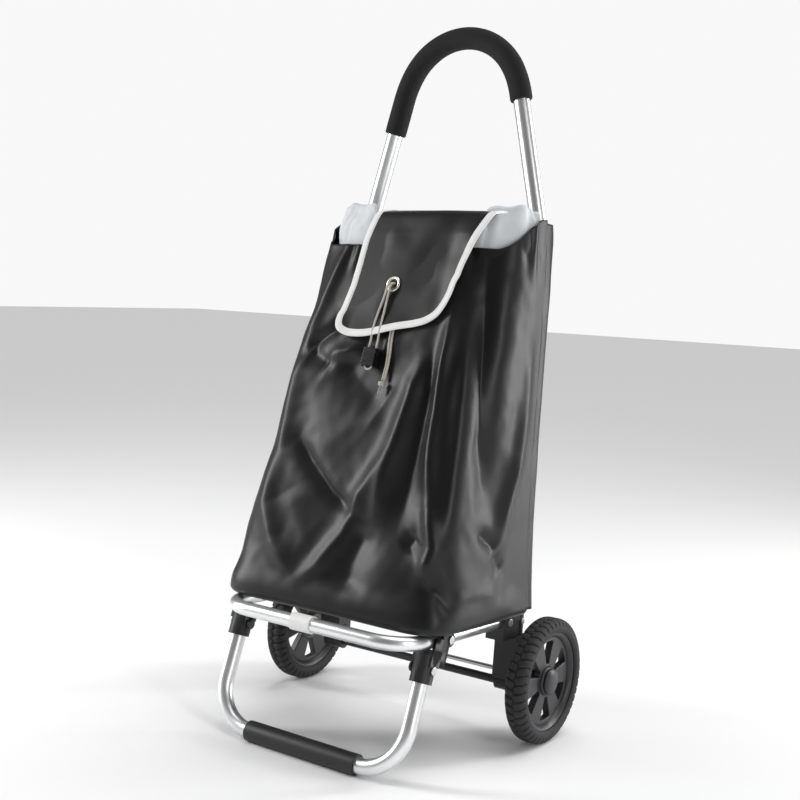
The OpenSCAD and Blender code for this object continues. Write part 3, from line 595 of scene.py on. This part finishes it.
def bagSurface():
    shares = np.linspace(0, 1, bag["cols"])
    levels = np.linspace(bag["floor"], bag["mouth"] + 5, 60)
    table = np.array([bagSection(level, shares) for level in levels])
    rows = []
    for k in np.linspace(0, 1, bag["rows"]):
        heights = bag["floor"] + 9 + (mouthHeight(shares) - bag["floor"] - 9) * k
        flat = [[np.interp(h, levels, table[:, j, axis]) for axis in (0, 1)] for j, h in enumerate(heights)]
        rows.append(np.column_stack([flat, heights]))
    grid = np.array(rows)
    alongX = np.gradient(grid, axis=1)
    normal = np.stack([alongX[..., 1], -alongX[..., 0], np.zeros(grid.shape[:2])], -1)
    normal /= np.linalg.norm(normal, axis=-1)[..., None] + 1e-9
    q = np.broadcast_to(shares, grid.shape[:2])
    h = grid[..., 2]
    lift = foldHeights(q, h)
    lift += sum(height * wander(grid, size, seed) for height, size, seed in bag["wander"])
    gather = np.sin(q * 2 * math.pi * bag["gathers"] + 2.0 * np.sin(q * 19)) * (1.5 + np.sin(q * 31))
    lift += bag["gatherDepth"] * gather * smooth(h, 500, 590)
    sides = smooth(q, 0.012, 0.09) * smooth(1 - q, 0.012, 0.09)
    deepest = bag["inward"] - 14.0 * smooth(565 - h, 0, 60)  # folds stay shallow at the mouth
    lift = np.maximum(lift, deepest)
    underLock = np.exp(-((q - 0.525) / 0.035) ** 2 - ((h - 415) / 38.0) ** 2)
    lift -= np.maximum(lift + 2.4, 0) * np.minimum(1.6 * underLock, 1)
    lift *= sides * smooth(h, bag["floor"] + 6, bag["floor"] + 48)
    lift += 3.0 * np.exp(-((h - 105) / 16.0) ** 2) * sides  # the base bulges over its edge
    return grid + lift[..., None] * normal, shares


def bagPiece():
    grid, shares = bagSurface()
    middle = np.array(bag["baseMiddle"])
    under = []
    for inset, height in bag["baseEdge"]:
        ring = grid[0].copy()
        toward = middle - ring[:, :2]
        toward /= np.linalg.norm(toward, axis=1)[:, None]
        ring[:, :2] += toward * inset
        ring[:, 1] = np.maximum(ring[:, 1], bag["back"])
        ring[:, 2] = bag["floor"] + height
        under.append(ring)
    for share in (0.75, 0.5, 0.25, 0.02):
        ring = under[len(bag["baseEdge"]) - 1].copy()
        ring[:, :2] = middle + (ring[:, :2] - middle) * share
        under.append(ring)
    full = np.concatenate([np.array(under[::-1]), grid])
    uvs = np.array([(q * 800.0 * mm, i * 3.1 * mm) for i in range(full.shape[0]) for q in shares])
    made = piece("bag", place(full), gridFaces(*full.shape[:2]), "frame", "coated_fabric", uvs)
    return thicken(made, bag["sheet"], -1.0)


rear = {"half": 159, "cols": 70, "rows": 120, "top": 19, "proud": 0.6, "wave": 1.8, "sheet": 1.4}


def backPanel():
    across = np.linspace(-rear["half"], rear["half"], rear["cols"])
    heights = np.linspace(bag["floor"] + 2, bag["mouth"] - rear["top"], rear["rows"])
    grid = np.array([[(x * np.interp(h, [84, 433, 600], [1, 1, 0.93]), bag["back"] + rear["proud"], h)
                      for x in across] for h in heights])
    grid[..., 1] += 1.6 + rear["wave"] * wander(grid, 90.0, 1.7) * smooth(160 - np.abs(grid[..., 0]), 0, 40)
    uvs = np.array([(x * mm, h * mm) for h in heights for x in across])
    made = piece("bag_back", place(grid), gridFaces(rear["rows"], rear["cols"]), "frame", "coated_fabric", uvs)
    return thicken(made, rear["sheet"])


sleeves = {"low": 90.5, "high": 596.0, "radius": 13.0, "bend": 567.0, "proud": 0.9, "rows": 150, "cols": 46,
           "sheet": 1.0}


def sleevePiece(name, side):  # the pocket of the bag that wraps round an upright, flush with the bag's side
    heights = np.linspace(sleeves["low"], sleeves["high"], sleeves["rows"])
    rows = []
    for h in heights:
        tubeX = trolley["uprightX"] - max(0.0, h - sleeves["bend"]) ** 2 / 300.0
        wall = max(float(bagWidth(h)) + sleeves["proud"], tubeX + trolley["uprightR"] + 1.2)
        r = sleeves["radius"]
        section = [(wall - 1.6, 27), (wall - 0.2, 22), (wall + 0.2, 12), (wall - 0.4, 1),
                   (tubeX + 0.72 * r, -0.74 * r), (tubeX, -r), (tubeX - 0.72 * r, -0.72 * r),
                   (tubeX - r, 0.5), (tubeX - r - 1.5, 9), (tubeX - r - 6, 15.5)]
        flat = curvePoints([(x, v, 0) for x, v in section], sleeves["cols"])
        flat[:, 2] = h
        rows.append(flat)
    grid = np.array(rows)
    ripple = 1.2 * wander(grid * [1, 1, 0.6], 34.0, 4.4)
    behind = smooth(20 - grid[..., 1], 0, 18)
    grid[..., 1] -= np.maximum(0.1, ripple) * behind
    grid[..., 0] += 0.8 * np.maximum(0, ripple) * behind * np.sign(grid[..., 0] - trolley["uprightX"])
    grid[..., 0] *= side
    uvs = np.array([(k * 2.2 * mm, h * mm) for h in heights for k in range(sleeves["cols"])])
    made = piece(name, place(grid), gridFaces(sleeves["rows"], sleeves["cols"]), "frame", "coated_fabric", uvs)
    return thicken(made, sleeves["sheet"])


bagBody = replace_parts(bagPiece(), "bag_shell", "flap_anchor", "drawcord_tunnel")
backPanel()
for side, label in ((1, "right"), (-1, "left")):
    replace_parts(sleevePiece("sleeve_" + label, side), "upright_sleeve_" + label)


def flattens(soft):  # the cloth that would lie flat against the back panel once the platform is up; here each piece only gets its own copy of its mesh
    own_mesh(soft)


flattens(bagBody)
print("bag ready")

lining = {"rows": 34, "cols": 420, "sheet": 0.9, "pleats": 21, "inner": 17.5, "middle": (0.0, 55.0),
          "low": 522.0, "under": 591.0, "corner": 612.0, "right": (104, 124), "left": (60, 82)}


def liningPiece():
    shares = np.linspace(0, 1, lining["cols"])
    steps = np.linspace(0, 1, lining["rows"])
    lowRing, highRing = bagSection(525.0, shares), bagSection(600.0, shares)
    across = highRing[:, 0]
    corners = np.maximum(smooth(across, *lining["right"]), smooth(-across, *lining["left"]))
    flatRing = np.column_stack([highRing, np.zeros(lining["cols"])])
    top = lining["under"] + (lining["corner"] - lining["under"]) * corners
    top += 5.0 * corners * wander(flatRing, 24.0, 2.2)
    rows = []
    for t in steps:
        height = lining["low"] + (top - lining["low"]) * min(t / 0.88, 1.0) - 7.0 * smooth(t, 0.88, 1.0)
        blend = ((height - 525.0) / 75.0)[:, None]
        ring = lowRing + (highRing - lowRing) * blend
        inward = np.array(lining["middle"]) - ring
        inward /= np.linalg.norm(inward, axis=1)[:, None]
        phase = shares * 2 * math.pi * lining["pleats"] + 3.0 * np.sin(shares * 23) + 2.5 * t
        depth = (1.5 + 4.0 * smooth(t, 0.35, 0.8)) * (0.6 + 0.4 * np.sin(shares * 41))
        inset = 3.6 + 9.0 * smooth(585 - height, 0, 40) + 3.0 * smooth(t, 0.6, 0.9)
        inset = inset + depth * (0.5 + 0.5 * np.sin(phase)) + 5.0 * smooth(t, 0.88, 1.0)
        flat = ring + inward * inset[:, None]
        flat[:, 1] = np.maximum(flat[:, 1], lining["inner"])
        rows.append(np.column_stack([flat, height]))
    grid = np.array(rows)
    loose = smooth(grid[..., 2], 545, 590)[..., None]
    centre = np.array([*lining["middle"], 0.0]) - grid
    centre[..., 2] = 0
    centre /= np.linalg.norm(centre, axis=-1)[..., None]
    grid += centre * loose * (np.maximum(0, 7.0 * wander(grid, 26.0, 7.7))[..., None])
    grid[..., 2] += loose[..., 0] * 3.0 * wander(grid, 16.0, 6.1) * corners
    uvs = np.array([(q * 0.62, t * 0.09) for t in steps for q in shares])
    made = piece("mouth_collar", place(grid), gridFaces(lining["rows"], lining["cols"]), "frame", "grey_lining",
                 uvs)
    return thicken(made, lining["sheet"])


flattens(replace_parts(liningPiece(), "mouth_lining"))
for hanging in drawcords:
    flattens(hanging)
print("lining ready")

# The flap is one cloth: along its run from the hinge over the mouth and down the front, and across it.
flap = {"offset": 5.4, "sheet": 1.7, "cols": 90, "rows": 110, "tape": 9.5, "tapeProud": 0.75,
        "seamInset": 7.4,
        "fallFrom": 120, "leftEnds": 462, "rightEnds": 512,  # where the path falls, edges' lowest
        "over": [(13.6, 582), (13.0, 592), (15.5, 599), (24, 603.5), (40, 605), (60, 605), (78, 603.5),
                 (92, 600.5),
                 (100.5, 594), (104.5, 584)],
        "left": [(425, -77), (454, -77), (474, -74), (499, -69), (531, -67), (561, -66), (590, -60),
                 (610, -54)],
        "right": [(425, 97), (480, 97), (500, 99), (530, 105), (560, 114), (590, 124), (610, 130)],
        "bottom": [(-77, 458), (-76, 447), (-71, 438), (-62, 433), (-52, 431), (-36, 431), (-20, 433), (0, 438),
                   (23, 444), (48, 449), (64, 454), (78, 463), (88, 476), (95, 492), (98, 506)]}


def flapPath():
    over = curvePoints([(0, v, w) for v, w in flap["over"]], 70)[:, 1:]
    heights = np.linspace(574, 415, 120)
    clear = flap["offset"] / math.cos(math.atan(bag["frontSlope"]))
    front = np.stack([bagFront(heights) + clear, heights], 1)
    path = curvePoints([(0, v, w) for v, w in np.concatenate([over[:-4:6], front[::6]])], 400)[:, 1:]
    run = runAlong(path)
    return path, run


def flapSurface(across, run, off):  # across and run in mm on the flat cloth
    path, runs = flapPath()
    v, w = np.interp(run, runs, path[:, 0]), np.interp(run, runs, path[:, 1])
    dv, dw = np.gradient(path[:, 0], runs), np.gradient(path[:, 1], runs)
    nv, nw = -np.interp(run, runs, dw), np.interp(run, runs, dv)
    length = np.hypot(nv, nw)
    flat = np.stack([across, v, w], -1)
    onFront = smooth(run, 95, 150)
    lift = 2.6 * wander(flat, 75.0, 8.2) * smooth(run, 60, 130)
    lift += 1.2 * wander(flat, 34.0, 2.6) * smooth(run, 60, 130)
    lift += 9.0 * smooth(across, 55, 108) ** 2 * smooth(w, 415, 470) * onFront
    lift += 5.0 * smooth(-across, 52, 82) * smooth(470 - w, -10, 40) + 3.5 * smooth(455 - w, -15, 25)
    lift -= 3.0 * smooth(across, 95, 128) * smooth(120 - run, -10, 60)
    calm = 1 - np.exp(-((across / 26) ** 2 + ((w - 501) / 30) ** 2))
    lift = np.maximum(lift, -0.8) * calm
    out = off + lift
    return np.stack([across, v + nv / length * out, w + nw / length * out], -1)


def flapOutline(inset=0.0, count=260):  # down the left edge from the hinge, round, and up the right edge
    path, runs = flapPath()
    fall = flap["fallFrom"]

    def runAt(height):
        return float(np.interp(-height, -path[fall:, 1], runs[fall:]))

    def edge(name, lowest):
        return [(np.interp(path[i, 1], *zip(*flap[name])), runs[i]) for i in range(0, len(path), 8)
                if runs[i] < runAt(lowest)]

    bottom = [(x, runAt(w)) for x, w in flap["bottom"]]
    around = edge("left", flap["leftEnds"]) + bottom + edge("right", flap["rightEnds"])[::-1]
    line = curvePoints([(x, r, 0) for x, r in around], count)[:, :2]
    along = np.gradient(line, axis=0)
    along /= np.linalg.norm(along, axis=1)[:, None]
    inward = np.stack([-along[:, 1], along[:, 0]], 1)
    if inward[5, 0] < 0:
        inward = -inward
    return line + inward * inset, inward


def flapPanel():
    line, _ = flapOutline(1.2)
    lowest = int(np.argmax(line[:, 1]))
    leftRuns, rightRuns = line[:lowest + 1], line[lowest:][::-1]
    grid = []
    for k in np.linspace(0, 1, flap["rows"]):
        run = line[:, 1].max() * (1 - (1 - k) ** 1.3)
        grid.append((float(np.interp(run, leftRuns[:, 1], leftRuns[:, 0])),
                     float(np.interp(run, rightRuns[:, 1], rightRuns[:, 0])), run))
    across = np.array([np.linspace(a, b, flap["cols"]) for a, b, _ in grid])
    run = np.array([[r] * flap["cols"] for _, _, r in grid])
    points = flapSurface(across, run, 0.0)
    uvs = np.stack([across.ravel() * mm, run.ravel() * mm], 1)
    made = piece("flap", place(points), gridFaces(flap["rows"], flap["cols"]), "flap", "coated_fabric", uvs)
    return thicken(made, flap["sheet"])


def flapTape():
    line, inward = flapOutline(0.0, 420)
    proud = flap["sheet"] / 2 + flap["tapeProud"]
    section = [(flap["tape"], flap["sheet"] / 2 + 0.05), (flap["tape"] - 0.5, proud - 0.2),
               (flap["tape"] - 1.6, proud),
               (4.5, proud + 0.15), (1.2, proud), (0.1, proud - 0.45), (-0.5, 0.0), (0.1, -proud + 0.45),
               (1.2, -proud),
               (4.5, -proud - 0.15), (flap["tape"] - 1.6, -proud), (flap["tape"], -flap["sheet"] / 2 - 0.05)]
    grid = np.array([flapSurface(line[:, 0] + inward[:, 0] * s, line[:, 1] + inward[:, 1] * s, off)
                     for s, off in section])
    along = runAlong(line)
    uvs = np.array([(i * 2.2 * mm, a * mm) for i in range(len(section)) for a in along])
    return piece("flap_tape", place(grid), gridFaces(len(section), len(line)), "flap", "white_binding", uvs)


stitches = {"first": 2.0, "length": 2.6, "gap": 1.4, "radius": 0.28, "rise": (-0.25, 0.12, 0.22, 0.12, -0.25),
            "taper": (0.6, 1, 1, 1, 0.6)}


def flapStitches():
    line, inward = flapOutline(0.0, 420)
    across, run = line[:, 0] + inward[:, 0] * flap["seamInset"], line[:, 1] + inward[:, 1] * flap["seamInset"]
    proud = flap["sheet"] / 2 + flap["tapeProud"] + 0.05
    points = place(flapSurface(across, run, proud)) / mm
    normals = place(flapSurface(across, run, proud + 1)) / mm - points
    seamRun = runAlong(points)
    tubes = []
    where = stitches["first"]
    while where + stitches["length"] < seamRun[-1]:
        marks = np.linspace(where, where + stitches["length"], 5)
        p = np.stack([np.interp(marks, seamRun, points[:, k]) for k in range(3)], 1)
        n = np.stack([np.interp(marks, seamRun, normals[:, k]) for k in range(3)], 1)
        thread = p + n * np.array(stitches["rise"])[:, None]
        tubes.append(tube(thread * mm, np.array(stitches["taper"]) * stitches["radius"] * mm, 6))
        where += stitches["length"] + stitches["gap"]
    verts, faces, _ = joined(tubes)
    return piece("flap_stitches", verts, faces, "flap", "white_binding")


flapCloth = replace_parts(flapPanel(), "flap_panel")
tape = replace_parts(flapTape(), "flap_binding")
seam = flapStitches()
print("flap ready")

slopeAngle = math.atan(bag["frontSlope"])
outOfFront = np.array([0, math.cos(slopeAngle), math.sin(slopeAngle)])
upTheFront = np.array([0, -math.sin(slopeAngle), math.cos(slopeAngle)])


def eyeletPiece():
    centre = np.array([0, float(bagFront(501.0)) + 0.1, 501.0]) + outOfFront * flap["offset"]
    profile = [(10.4, 0.9), (10.7, 1.5), (10.3, 2.3), (9.3, 2.9), (8.2, 2.9), (7.2, 2.4), (6.6, 1.4),
               (6.5, 0.2),
               (6.5, -1.4), (6.9, -2.2), (8.0, -2.5), (9.6, -2.2), (10.1, -1.6), (9.8, -1.0), (8.0, -0.8),
               (8.0, 0.8)]
    rows = []
    for a in np.arange(72) * 2 * math.pi / 72:
        spoke = math.cos(a) * np.array([1.0, 0, 0]) + math.sin(a) * upTheFront
        rows.append([centre + spoke * r + outOfFront * h for r, h in profile])
    grid = np.array(rows + [rows[0]])
    return piece("eyelet_ring", place(grid), gridFaces(len(grid), len(profile), closed=True), "flap", "nickel")


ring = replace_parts(eyeletPiece(), "eyelet")
cut, _ = flapOutline()
flatSize = (cut.max(0) - cut.min(0)) * mm


castings = {}
rounding = {"segments": 3, "angle": 35, "weight": 80,
            "parts": [  # node, edge radius, body, slot
                ("wheel_bracket_left", 1.3, "frame", "black_nylon"),
                ("wheel_bracket_right", 1.3, "frame", "black_nylon"),
                ("stand_bracket_left", 1.1, "stand", "black_nylon"),
                ("stand_bracket_right", 1.1, "stand", "black_nylon"),
                ("foot_sleeve", 0.8, "stand", "foot_rubber"), ("socket_caps", 1.2, "stand", "black_nylon"),
                ("bar_collar", 0.7, "platform", "white_plastic"),
                ("bracket_screws", 0.7, "frame", "zinc_steel"),
                ("cross_bar_screws", 0.7, "frame", "zinc_steel"),
                ("platform_rivets", 0.7, "frame", "zinc_steel"),
                ("stand_rivets", 0.7, "platform", "zinc_steel"),
                ("socket_rivets", 0.7, "stand", "zinc_steel"),
                ("axle_spacers", 0.5, "frame", "black_nylon"),
                ("lock_body", 1.6, "cord_lock", "lock_plastic"),
                ("lock_plunger", 0.9, "lock_button", "lock_plastic")]}


def softened(node, width, body, slot):  # the node's own shape with rounded edges
    mesh = nodes[node].data.copy()
    obj = bpy.data.objects.new(node.replace("bracket", "casting") + "_part", mesh)
    bpy.context.scene.collection.objects.link(obj)
    obj.matrix_world = nodes[node].matrix_world.copy()
    work = bmesh.new()
    work.from_mesh(mesh)
    bmesh.ops.remove_doubles(work, verts=work.verts, dist=2e-5)
    bmesh.ops.dissolve_limit(work, angle_limit=math.radians(1.0), verts=work.verts, edges=work.edges)
    work.to_mesh(mesh)
    work.free()
    bake(obj, ("BEVEL", {"width": width * mm, "segments": rounding["segments"], "limit_method": "ANGLE",
                         "angle_limit": math.radians(rounding["angle"]), "harden_normals": False}),
         ("TRIANGULATE", {}))
    obj.data.polygons.foreach_set("use_smooth", [True] * len(obj.data.polygons))
    bake(obj, ("WEIGHTED_NORMAL", {"keep_sharp": False, "weight": rounding["weight"]}))
    obj.data.materials.clear()
    obj.data.materials.append(paints[slot])
    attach(obj, body)
    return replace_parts(obj, node)


for node, width, body, slot in rounding["parts"]:
    castings[node] = softened(node, width, body, slot)
print("castings ready")

lock = {"at": (-8.4, -41.0, 495.4), "halfWidth": 9.45, "halfDeep": 5.95, "ribs": (-6.4, -3.2, 0.0, 3.2, 6.4),
        "ribR": 0.55, "rims": (-11.3, 11.3), "rimR": 0.8, "coil": (-8.2, -0.4), "coilR": 1.8, "coilTurns": 4,
        "wireR": 0.3}
tilt = slopeAngle + trolley["lean"]
lockAcross = np.array([1.0, 0, 0])
lockOut = np.array([0, -math.cos(tilt), math.sin(tilt)])
lockUp = np.array([0, math.sin(tilt), math.cos(tilt)])


def lockRibs():
    levels = [(level, lock["ribR"]) for level in lock["ribs"]]
    levels += [(level, lock["rimR"]) for level in lock["rims"]]
    a = np.linspace(0, 2 * math.pi, 81)
    c, s = np.cos(a), np.sin(a)
    x = lock["halfWidth"] * np.sign(c) * np.abs(c) ** 0.22
    y = lock["halfDeep"] * np.sign(s) * np.abs(s) ** 0.22
    tubes = []
    for level, r in levels:
        loop = np.array(lock["at"]) + x[:, None] * lockAcross + y[:, None] * lockOut + level * lockUp
        tubes.append(tube(loop * mm, r * mm, 8, closeEnds=False))
    verts, faces, _ = joined(tubes)
    return piece("lock_ribs", verts, faces, "cord_lock", "lock_plastic")


def springPiece():  # a finer coil than the solid's
    t = np.linspace(0, 1, 200)
    turn = 2 * math.pi * lock["coilTurns"] * t
    low, high = lock["coil"]
    circle = np.cos(turn)[:, None] * lockAcross + np.sin(turn)[:, None] * lockOut
    coil = np.array(lock["at"]) + lock["coilR"] * circle + (low + (high - low) * t)[:, None] * lockUp
    verts, faces, _ = tube(coil * mm, lock["wireR"] * mm, 8)
    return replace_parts(piece("lock_coil", verts, faces, "cord_lock", "zinc_steel"), "lock_spring")


onCord = [castings["lock_body"], castings["lock_plunger"], lockRibs(), springPiece()]
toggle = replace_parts(cordPiece("toggle_loop", cords["toggle"], "flap"), "toggle_cord")
for hanging in [flapCloth, tape, seam, ring, toggle] + onCord:
    flattens(hanging)

handle = {"rise": 849.0, "archR": 93.0, "archTurn": 60.0, "shoulderR": 130.0, "splay": 14.0, "neckR": 150.0,
          "low": 12.0, "gripLeft": 50.0, "gripRight": 9.0, "gripR": 15.0,
          "gripEnd": [(0, 2.6), (0.2, 1.6), (0.8, 0.8), (1.8, 0.25), (3.2, 0)]}  # distance in, thinner by


def handleLine():  # centreline from right to left, with the runs where the grip starts and stops
    turn, straight = math.radians(handle["archTurn"]), math.radians(90 - handle["splay"])
    archCentre = np.array([0, handle["rise"] - handle["archR"]])
    archEnd = archCentre + handle["archR"] * np.array([math.sin(turn), math.cos(turn)])
    shoulder = archEnd - handle["shoulderR"] * np.array([math.sin(turn), math.cos(turn)])
    shoulderEnd = shoulder + handle["shoulderR"] * np.array([math.sin(straight), math.cos(straight)])
    shift = trolley["uprightX"] - handle["neckR"] * (1 - math.sin(straight)) - shoulderEnd[0]
    leg = shift / math.cos(straight)
    legEnd = shoulderEnd + leg * np.array([math.cos(straight), -math.sin(straight)])
    neck = legEnd - handle["neckR"] * np.array([math.sin(straight), math.cos(straight)])
    side = [(trolley["uprightX"], z) for z in np.linspace(handle["low"], neck[1], 12, endpoint=False)]
    for a in np.linspace(0, math.radians(handle["splay"]), 12, endpoint=False):
        side.append(tuple(neck + handle["neckR"] * np.array([math.cos(a), math.sin(a)])))
    side += [tuple(legEnd + (shoulderEnd - legEnd) * t) for t in np.linspace(0, 1, 12, endpoint=False)]
    before = len(side)
    for a in np.linspace(math.radians(handle["splay"]), math.pi / 2 - turn, 14, endpoint=False):
        side.append(tuple(shoulder + handle["shoulderR"] * np.array([math.cos(a), math.sin(a)])))
    arch = [tuple(archCentre + handle["archR"] * np.array([math.cos(a), math.sin(a)]))
            for a in np.linspace(math.pi / 2 - turn, math.pi / 2 + turn, 61)]
    half = np.array(side)
    line = np.concatenate([half, np.array(arch), (half * [-1, 1])[::-1]])
    run = runAlong(line)
    return line, run, run[before], run[len(line) - 1 - before]


def alongHandle(marks):
    line, run = handleLine()[:2]
    return np.stack([np.interp(marks, run, line[:, 0]), np.zeros(len(marks)),
                     np.interp(marks, run, line[:, 1])], 1)


def handlePieces():
    line, run, gripStart, gripEnd = handleLine()
    marks = np.linspace(0, run[-1], 340)
    verts, faces, uvs = tube(place(alongHandle(marks)), trolley["uprightR"] * mm, 40)
    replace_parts(piece("handle", verts, faces, "frame", "aluminium_tube", uvs), "handle_tube")
    low, high = gripStart - handle["gripRight"], gripEnd + handle["gripLeft"]
    ends, thinner = (np.array(column) for column in zip(*handle["gripEnd"]))
    marks = np.concatenate([low + ends, np.linspace(low + 5, high - 5, 220), (high - ends)[::-1]])
    inset = np.interp(marks, np.concatenate([low + ends, (high - ends)[::-1]]),
                      np.concatenate([thinner, thinner[::-1]]))
    centre = alongHandle(marks)
    swell = 0.22 * wander(centre, 22.0, 3.3)
    verts, faces, uvs = tube(place(centre), (handle["gripR"] - inset + swell) * mm, 48)
    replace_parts(piece("grip", verts, faces, "frame", "foam_grip", uvs), "grip_sleeve")


handlePieces()
print("handle ready")

wheel = {"track": 199.0, "blocks": 46, "tread": 2.4, "spokes": 6, "hubR": 19.0, "discR": 61.0,
         "windowOut": 53.5, "spokeIn": 7.0, "spokeOut": 13.0, "disc": 5.0}


def wheelMiddle(side):
    return axle[0] + side * wheel["track"] * mm


def lathe(profile, steps, side):  # profile of (distance along the axle, radius), turned once round
    rows = []
    for i in range(steps + 1):
        a = 2 * math.pi * (i % steps) / steps
        rows.append([[wheelMiddle(side) + side * x * mm, axle[1] + r * mm * math.cos(a),
                      axle[2] + r * mm * math.sin(a)] for x, r in profile])
    return np.array(rows)


def tyrePiece(name, side, body, node):
    halfProfile = [(12.0, 64.2), (14.0, 66.5), (14.8, 69.5), (14.9, 72.5), (14.6, 75.0), (13.6, 77.6),
                   (12.2, 79.6),
                   (10.4, 81.2), (8.0, 82.1), (5.5, 82.4), (3.0, 82.5), (1.2, 82.5)]
    profile = halfProfile + [(-x, r) for x, r in halfProfile[::-1]]
    fine = curvePoints([(x, r, 0) for x, r in profile], 74)[:, :2]
    steps = wheel["blocks"] * 14
    angle = np.arange(steps) / steps
    x, r = np.meshgrid(fine[:, 0], angle)[0], np.broadcast_to(fine[:, 1], (steps, len(fine)))
    turn = np.broadcast_to(angle[:, None], x.shape)
    phase = (turn * wheel["blocks"] + np.where(x > 0, 0.0, 0.5) + np.abs(x) * 0.028) % 1.0
    across = smooth(np.minimum(phase, 1 - phase), 0.07, 0.13)
    centre = smooth(np.abs(x + 1.2 * np.sin(turn * wheel["blocks"] * 2 * math.pi)), 0.9, 1.7)
    reach = smooth(r, 72.5, 75.5)
    drop = wheel["tread"] * (1 - across * (1 - (1 - centre) * smooth(r, 80.5, 82.0))) * reach
    lip = 0.5 * np.exp(-((r - 70.0) / 0.8) ** 2)
    radius = r - drop * np.where(r > 79.5, 1.0, 0.35)
    outward = x - np.sign(x) * drop * np.where(r > 79.5, 0.1, 0.8) + np.sign(x) * lip * 0.6
    a = turn * 2 * math.pi
    grid = np.stack([wheelMiddle(side) + side * outward * mm, axle[1] + radius * mm * np.cos(a),
                     axle[2] + radius * mm * np.sin(a)], -1)
    grid = np.concatenate([grid, grid[:1]])
    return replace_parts(piece(name, grid, gridFaces(steps + 1, len(fine)), body, "tyre_rubber"), node)


def windowLine(k):  # one rounded opening between two spokes
    step = 2 * math.pi / wheel["spokes"]
    middle = (k + 0.5) * step
    inner, outer = wheel["hubR"] + 2.5, wheel["windowOut"]
    innerHalf = step / 2 - math.asin(wheel["spokeIn"] / inner)
    outerHalf = step / 2 - math.asin(wheel["spokeOut"] / outer)
    corners = [(inner, -innerHalf), (outer, -outerHalf), (outer, outerHalf), (inner, innerHalf)]
    line = []
    for i, (r, a) in enumerate(corners):
        r2, a2 = corners[(i + 1) % 4]
        for t in np.linspace(0, 1, 30, endpoint=False):
            reach, angle = r + (r2 - r) * t, middle + a + (a2 - a) * t
            line.append((reach * math.cos(angle), reach * math.sin(angle)))
    p = np.array(line)
    for _ in range(10):  # rounds the corners
        p = (np.roll(p, 1, 0) + p * 2 + np.roll(p, -1, 0)) / 4
    return p


def rimPiece(name, side, body, node):
    flat = bpy.data.curves.new(name, "CURVE")
    flat.dimensions, flat.fill_mode = "2D", "BOTH"
    flat.extrude, flat.bevel_depth, flat.bevel_resolution = (wheel["disc"] - 1.0) * mm, 1.0 * mm, 2
    circle = [(wheel["discR"] * math.cos(a), wheel["discR"] * math.sin(a))
              for a in np.linspace(0, 2 * math.pi, 180, endpoint=False)]
    for line in [circle] + [windowLine(k) for k in range(wheel["spokes"])]:
        spline = flat.splines.new("POLY")
        spline.points.add(len(line) - 1)
        spline.use_cyclic_u = True
        for point, (px, py) in zip(spline.points, line):
            point.co = (px * mm, py * mm, 0, 1)
    holder = bpy.data.objects.new(name + "_flat", flat)
    bpy.context.scene.collection.objects.link(holder)
    bpy.context.view_layer.update()
    disc = bpy.data.meshes.new_from_object(holder.evaluated_get(bpy.context.evaluated_depsgraph_get()))
    bpy.data.objects.remove(holder)
    verts = [(wheelMiddle(side) + side * v.co.z, axle[1] + v.co.x, axle[2] + v.co.y) for v in disc.vertices]
    faces = [tuple(p.vertices) for p in disc.polygons]
    rings = [[(-11, 64.1), (-10.6, 62.6), (-9.2, 60.0), (-5.2, 57.2), (0, 56.6), (5.2, 57.2), (9.2, 60.0),
              (10.6, 62.6),
              (11, 64.1)],
             [(-15, 7.0), (-15, 13.8), (-14, 15), (-6, 16.2), (0, 19.5), (5.2, 19.6), (7.8, 18.6), (9.0, 16.8),
              (9.0, 7.0)],
             [(-5, 25.0), (-5.8, 24.2), (-6.2, 22.6), (-5.8, 21.0), (-5, 20.2)]]
    for profile in rings:
        turned = lathe(profile, 96, side)
        faces += gridFaces(len(turned), len(profile), first=len(verts))
        verts += [tuple(v) for v in turned.reshape(-1, 3)]
    made = piece(name, verts, faces, body, "wheel_plastic")
    bake(made, ("WEIGHTED_NORMAL", {"weight": 60}))
    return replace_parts(made, node)


def capPiece(name, side, body, node):
    profile = [(9.2, 13.0), (9.2, 16.6), (9.9, 17.3), (11.4, 17.2), (13.0, 16.2), (14.2, 14.0), (15.2, 10.5),
               (15.8, 6.0),
               (16.0, 2.0), (16.0, 0.0)]
    grid = lathe(profile, 80, side)
    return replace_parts(piece(name, grid, gridFaces(len(grid), len(profile)), body, "wheel_plastic"), node)


for side, label in ((1, "right"), (-1, "left")):
    tyrePiece("tread_" + label, side, "wheel_" + label, "tyre_" + label)
    rimPiece("spokes_" + label, side, "wheel_" + label, "rim_" + label)
    capPiece("cap_" + label, side, "wheel_" + label, "hub_cap_" + label)
print("wheels ready")
